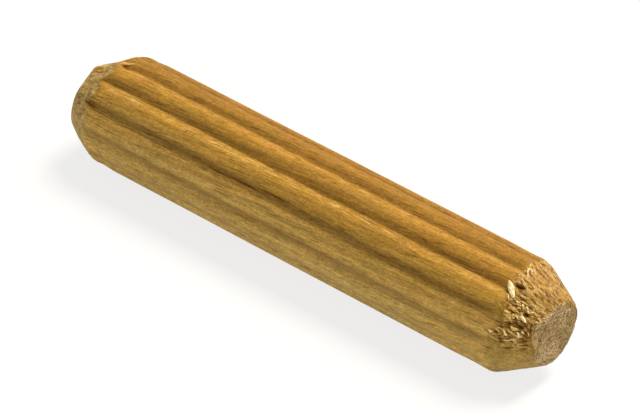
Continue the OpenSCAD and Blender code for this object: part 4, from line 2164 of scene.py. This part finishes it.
@dataclass(frozen=True)
class Lamp:
    """One soft area lamp, placed by its angle round the pin and its lean towards +X."""

    name: str
    angle: float
    lean: float
    distance: float
    size: Range
    power: float
    tint: Colour

    def add(self, middle: Vector) -> None:
        """Add the lamp to the scene, pointing at the pin.

        Args:
            middle: Middle of the pin.
        """
        data = bpy.data.lights.new(self.name, "AREA")
        data.shape = "RECTANGLE"
        data.size, data.size_y = self.size
        data.energy = self.power
        data.color = self.tint
        lamp = bpy.data.objects.new(self.name, data)
        bpy.context.scene.collection.objects.link(lamp)
        turn, lean = math.radians(self.angle), math.radians(self.lean)
        flat = math.cos(lean)
        way = Vector((math.sin(lean), flat * math.cos(turn), flat * math.sin(turn)))
        round_way = Vector((0.0, -math.sin(turn), math.cos(turn)))
        lamp.matrix_world = Matrix.Translation(middle + way * self.distance) @ (
            Matrix((round_way.cross(way), round_way, way)).transposed().to_4x4()
        )


@dataclass
class Studio:
    """Camera, lamps, world and floor."""

    form: PinForm
    distance: float = 280.1 * MM
    lens: float = 241.1
    azimuth: float = math.radians(35.37)
    elevation: float = math.radians(37.17)
    roll: float = math.radians(4.33)
    shift: Range = (0.0010, 0.0080)
    sensor: float = 36.0
    nearest: float = 0.01
    floor_size: float = 4.0
    floor_tone: float = 0.8
    white_share: float = 0.80
    world_strength: float = 0.11
    world_tint: Colour = (0.97, 0.985, 1.0)
    lamps: tuple[Lamp, ...] = (
        Lamp("key_lamp", 66.0, 8.0, 0.6, (0.20, 0.32), 5.0, (1.0, 0.90, 0.74)),
        Lamp("fill_lamp", 165.0, 20.0, 0.6, (0.40, 0.40), 0.95, (1.0, 0.99, 0.95)),
    )

    def build(self) -> None:
        """Set up the whole studio."""
        self.add_camera()
        for lamp in self.lamps:
            lamp.add(Vector((0.0, 0.0, self.form.axis_z)))
        self.add_world()
        self.add_floor()

    def back(self) -> Vector:
        """Direction from the pin's middle to the camera."""
        flat, turn = math.cos(self.elevation), self.azimuth
        return Vector((math.sin(turn) * flat, -math.cos(turn) * flat, math.sin(self.elevation)))

    def add_camera(self) -> None:
        """Add the camera and make it the scene's."""
        data = bpy.data.cameras.new("camera")
        data.lens = self.lens
        data.sensor_width = self.sensor
        data.shift_x, data.shift_y = self.shift
        data.clip_start = self.nearest
        camera = bpy.data.objects.new("camera", data)
        bpy.context.scene.collection.objects.link(camera)
        back = self.back()
        middle = Vector((0.0, 0.0, self.form.axis_z))
        turn = (-back).to_track_quat("-Z", "Y").to_matrix()
        turn = turn @ Matrix.Rotation(self.roll, 3, "Z")
        camera.matrix_world = Matrix.Translation(middle + back * self.distance) @ turn.to_4x4()
        bpy.context.scene.camera = camera

    def add_world(self) -> None:
        """Light the world evenly and show white behind the floor."""
        world = bpy.data.worlds.new("studio")
        world.use_nodes = True
        bpy.context.scene.world = world
        world.node_tree.nodes.clear()
        graph = Graph(world.node_tree)
        light, white = (
            graph.made("ShaderNodeBackground", 0, {"Color": tint, "Strength": strength})
            for tint, strength in ((self.world_tint, self.world_strength), (WHITE, 1.0))
        )
        shown = graph.made("ShaderNodeMixShader", 0, {0: self.seen_ray(graph), 1: light, 2: white})
        graph.feed(graph.node("ShaderNodeOutputWorld").inputs["Surface"], shown)

    @staticmethod
    def seen_ray(graph: Graph) -> Value:
        """Value that is 1 for rays that show the background as it is seen.

        Args:
            graph: Graph of the world or the floor.

        Returns:
            Socket that is 1 for camera, glossy and transmission rays.
        """
        path = graph.node("ShaderNodeLightPath").outputs
        seen = graph.math("MAXIMUM", path["Is Camera Ray"], path["Is Glossy Ray"])
        return graph.math("MAXIMUM", seen, path["Is Transmission Ray"])

    def add_floor(self) -> None:
        """Add the pale floor, which shows white and keeps the pin's shadow."""
        bpy.ops.object.select_all(action="DESELECT")
        bpy.ops.mesh.primitive_plane_add(size=self.floor_size, location=(0.0, 0.0, 0.0))
        floor = bpy.context.active_object
        floor.name = "floor"
        made = bpy.data.materials.new("floor_white")
        made.use_nodes = True
        made.node_tree.nodes.clear()
        graph = Graph(made.node_tree)
        matt, seen_matt = (
            graph.made("ShaderNodeBsdfDiffuse", 0, {"Color": tint})
            for tint in ((self.floor_tone,) * 3, WHITE)
        )
        glow = graph.made("ShaderNodeEmission", 0, {"Color": WHITE, "Strength": 1.0})
        lifted = graph.made("ShaderNodeMixShader", 0, {0: self.white_share, 1: seen_matt, 2: glow})
        shown = graph.made("ShaderNodeMixShader", 0, {0: self.seen_ray(graph), 1: matt, 2: lifted})
        graph.feed(graph.node("ShaderNodeOutputMaterial").inputs["Surface"], shown)
        floor.data.materials.append(made)


def main() -> None:
    """Build the pin and its studio."""
    logging.basicConfig(level=logging.INFO, format="%(message)s")
    bpy.ops.object.select_all(action="DESELECT")
    form = PinForm()
    surface = PinSurface(form)
    groups = NodeGroups(form)
    body = PinBody(surface).build()
    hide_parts(NODE)
    body.data.materials.append(BodyFinish(groups).material())
    torn = SplinterFinish(groups).material()
    pieces = [body]
    for maker in (TornSlivers, TornChips, FibreLoops, LongSplinter, LiftedFlake):
        piece = maker(surface).build()
        piece.data.materials.append(torn)
        pieces.append(piece)
    for piece in pieces:
        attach(piece, BODY)
        LOG.info("%s: %d vertices", piece.name, len(piece.data.vertices))
    Studio(form).build()
    bpy.context.scene.view_settings.view_transform = "Standard"


if __name__ == "__main__":
    main()
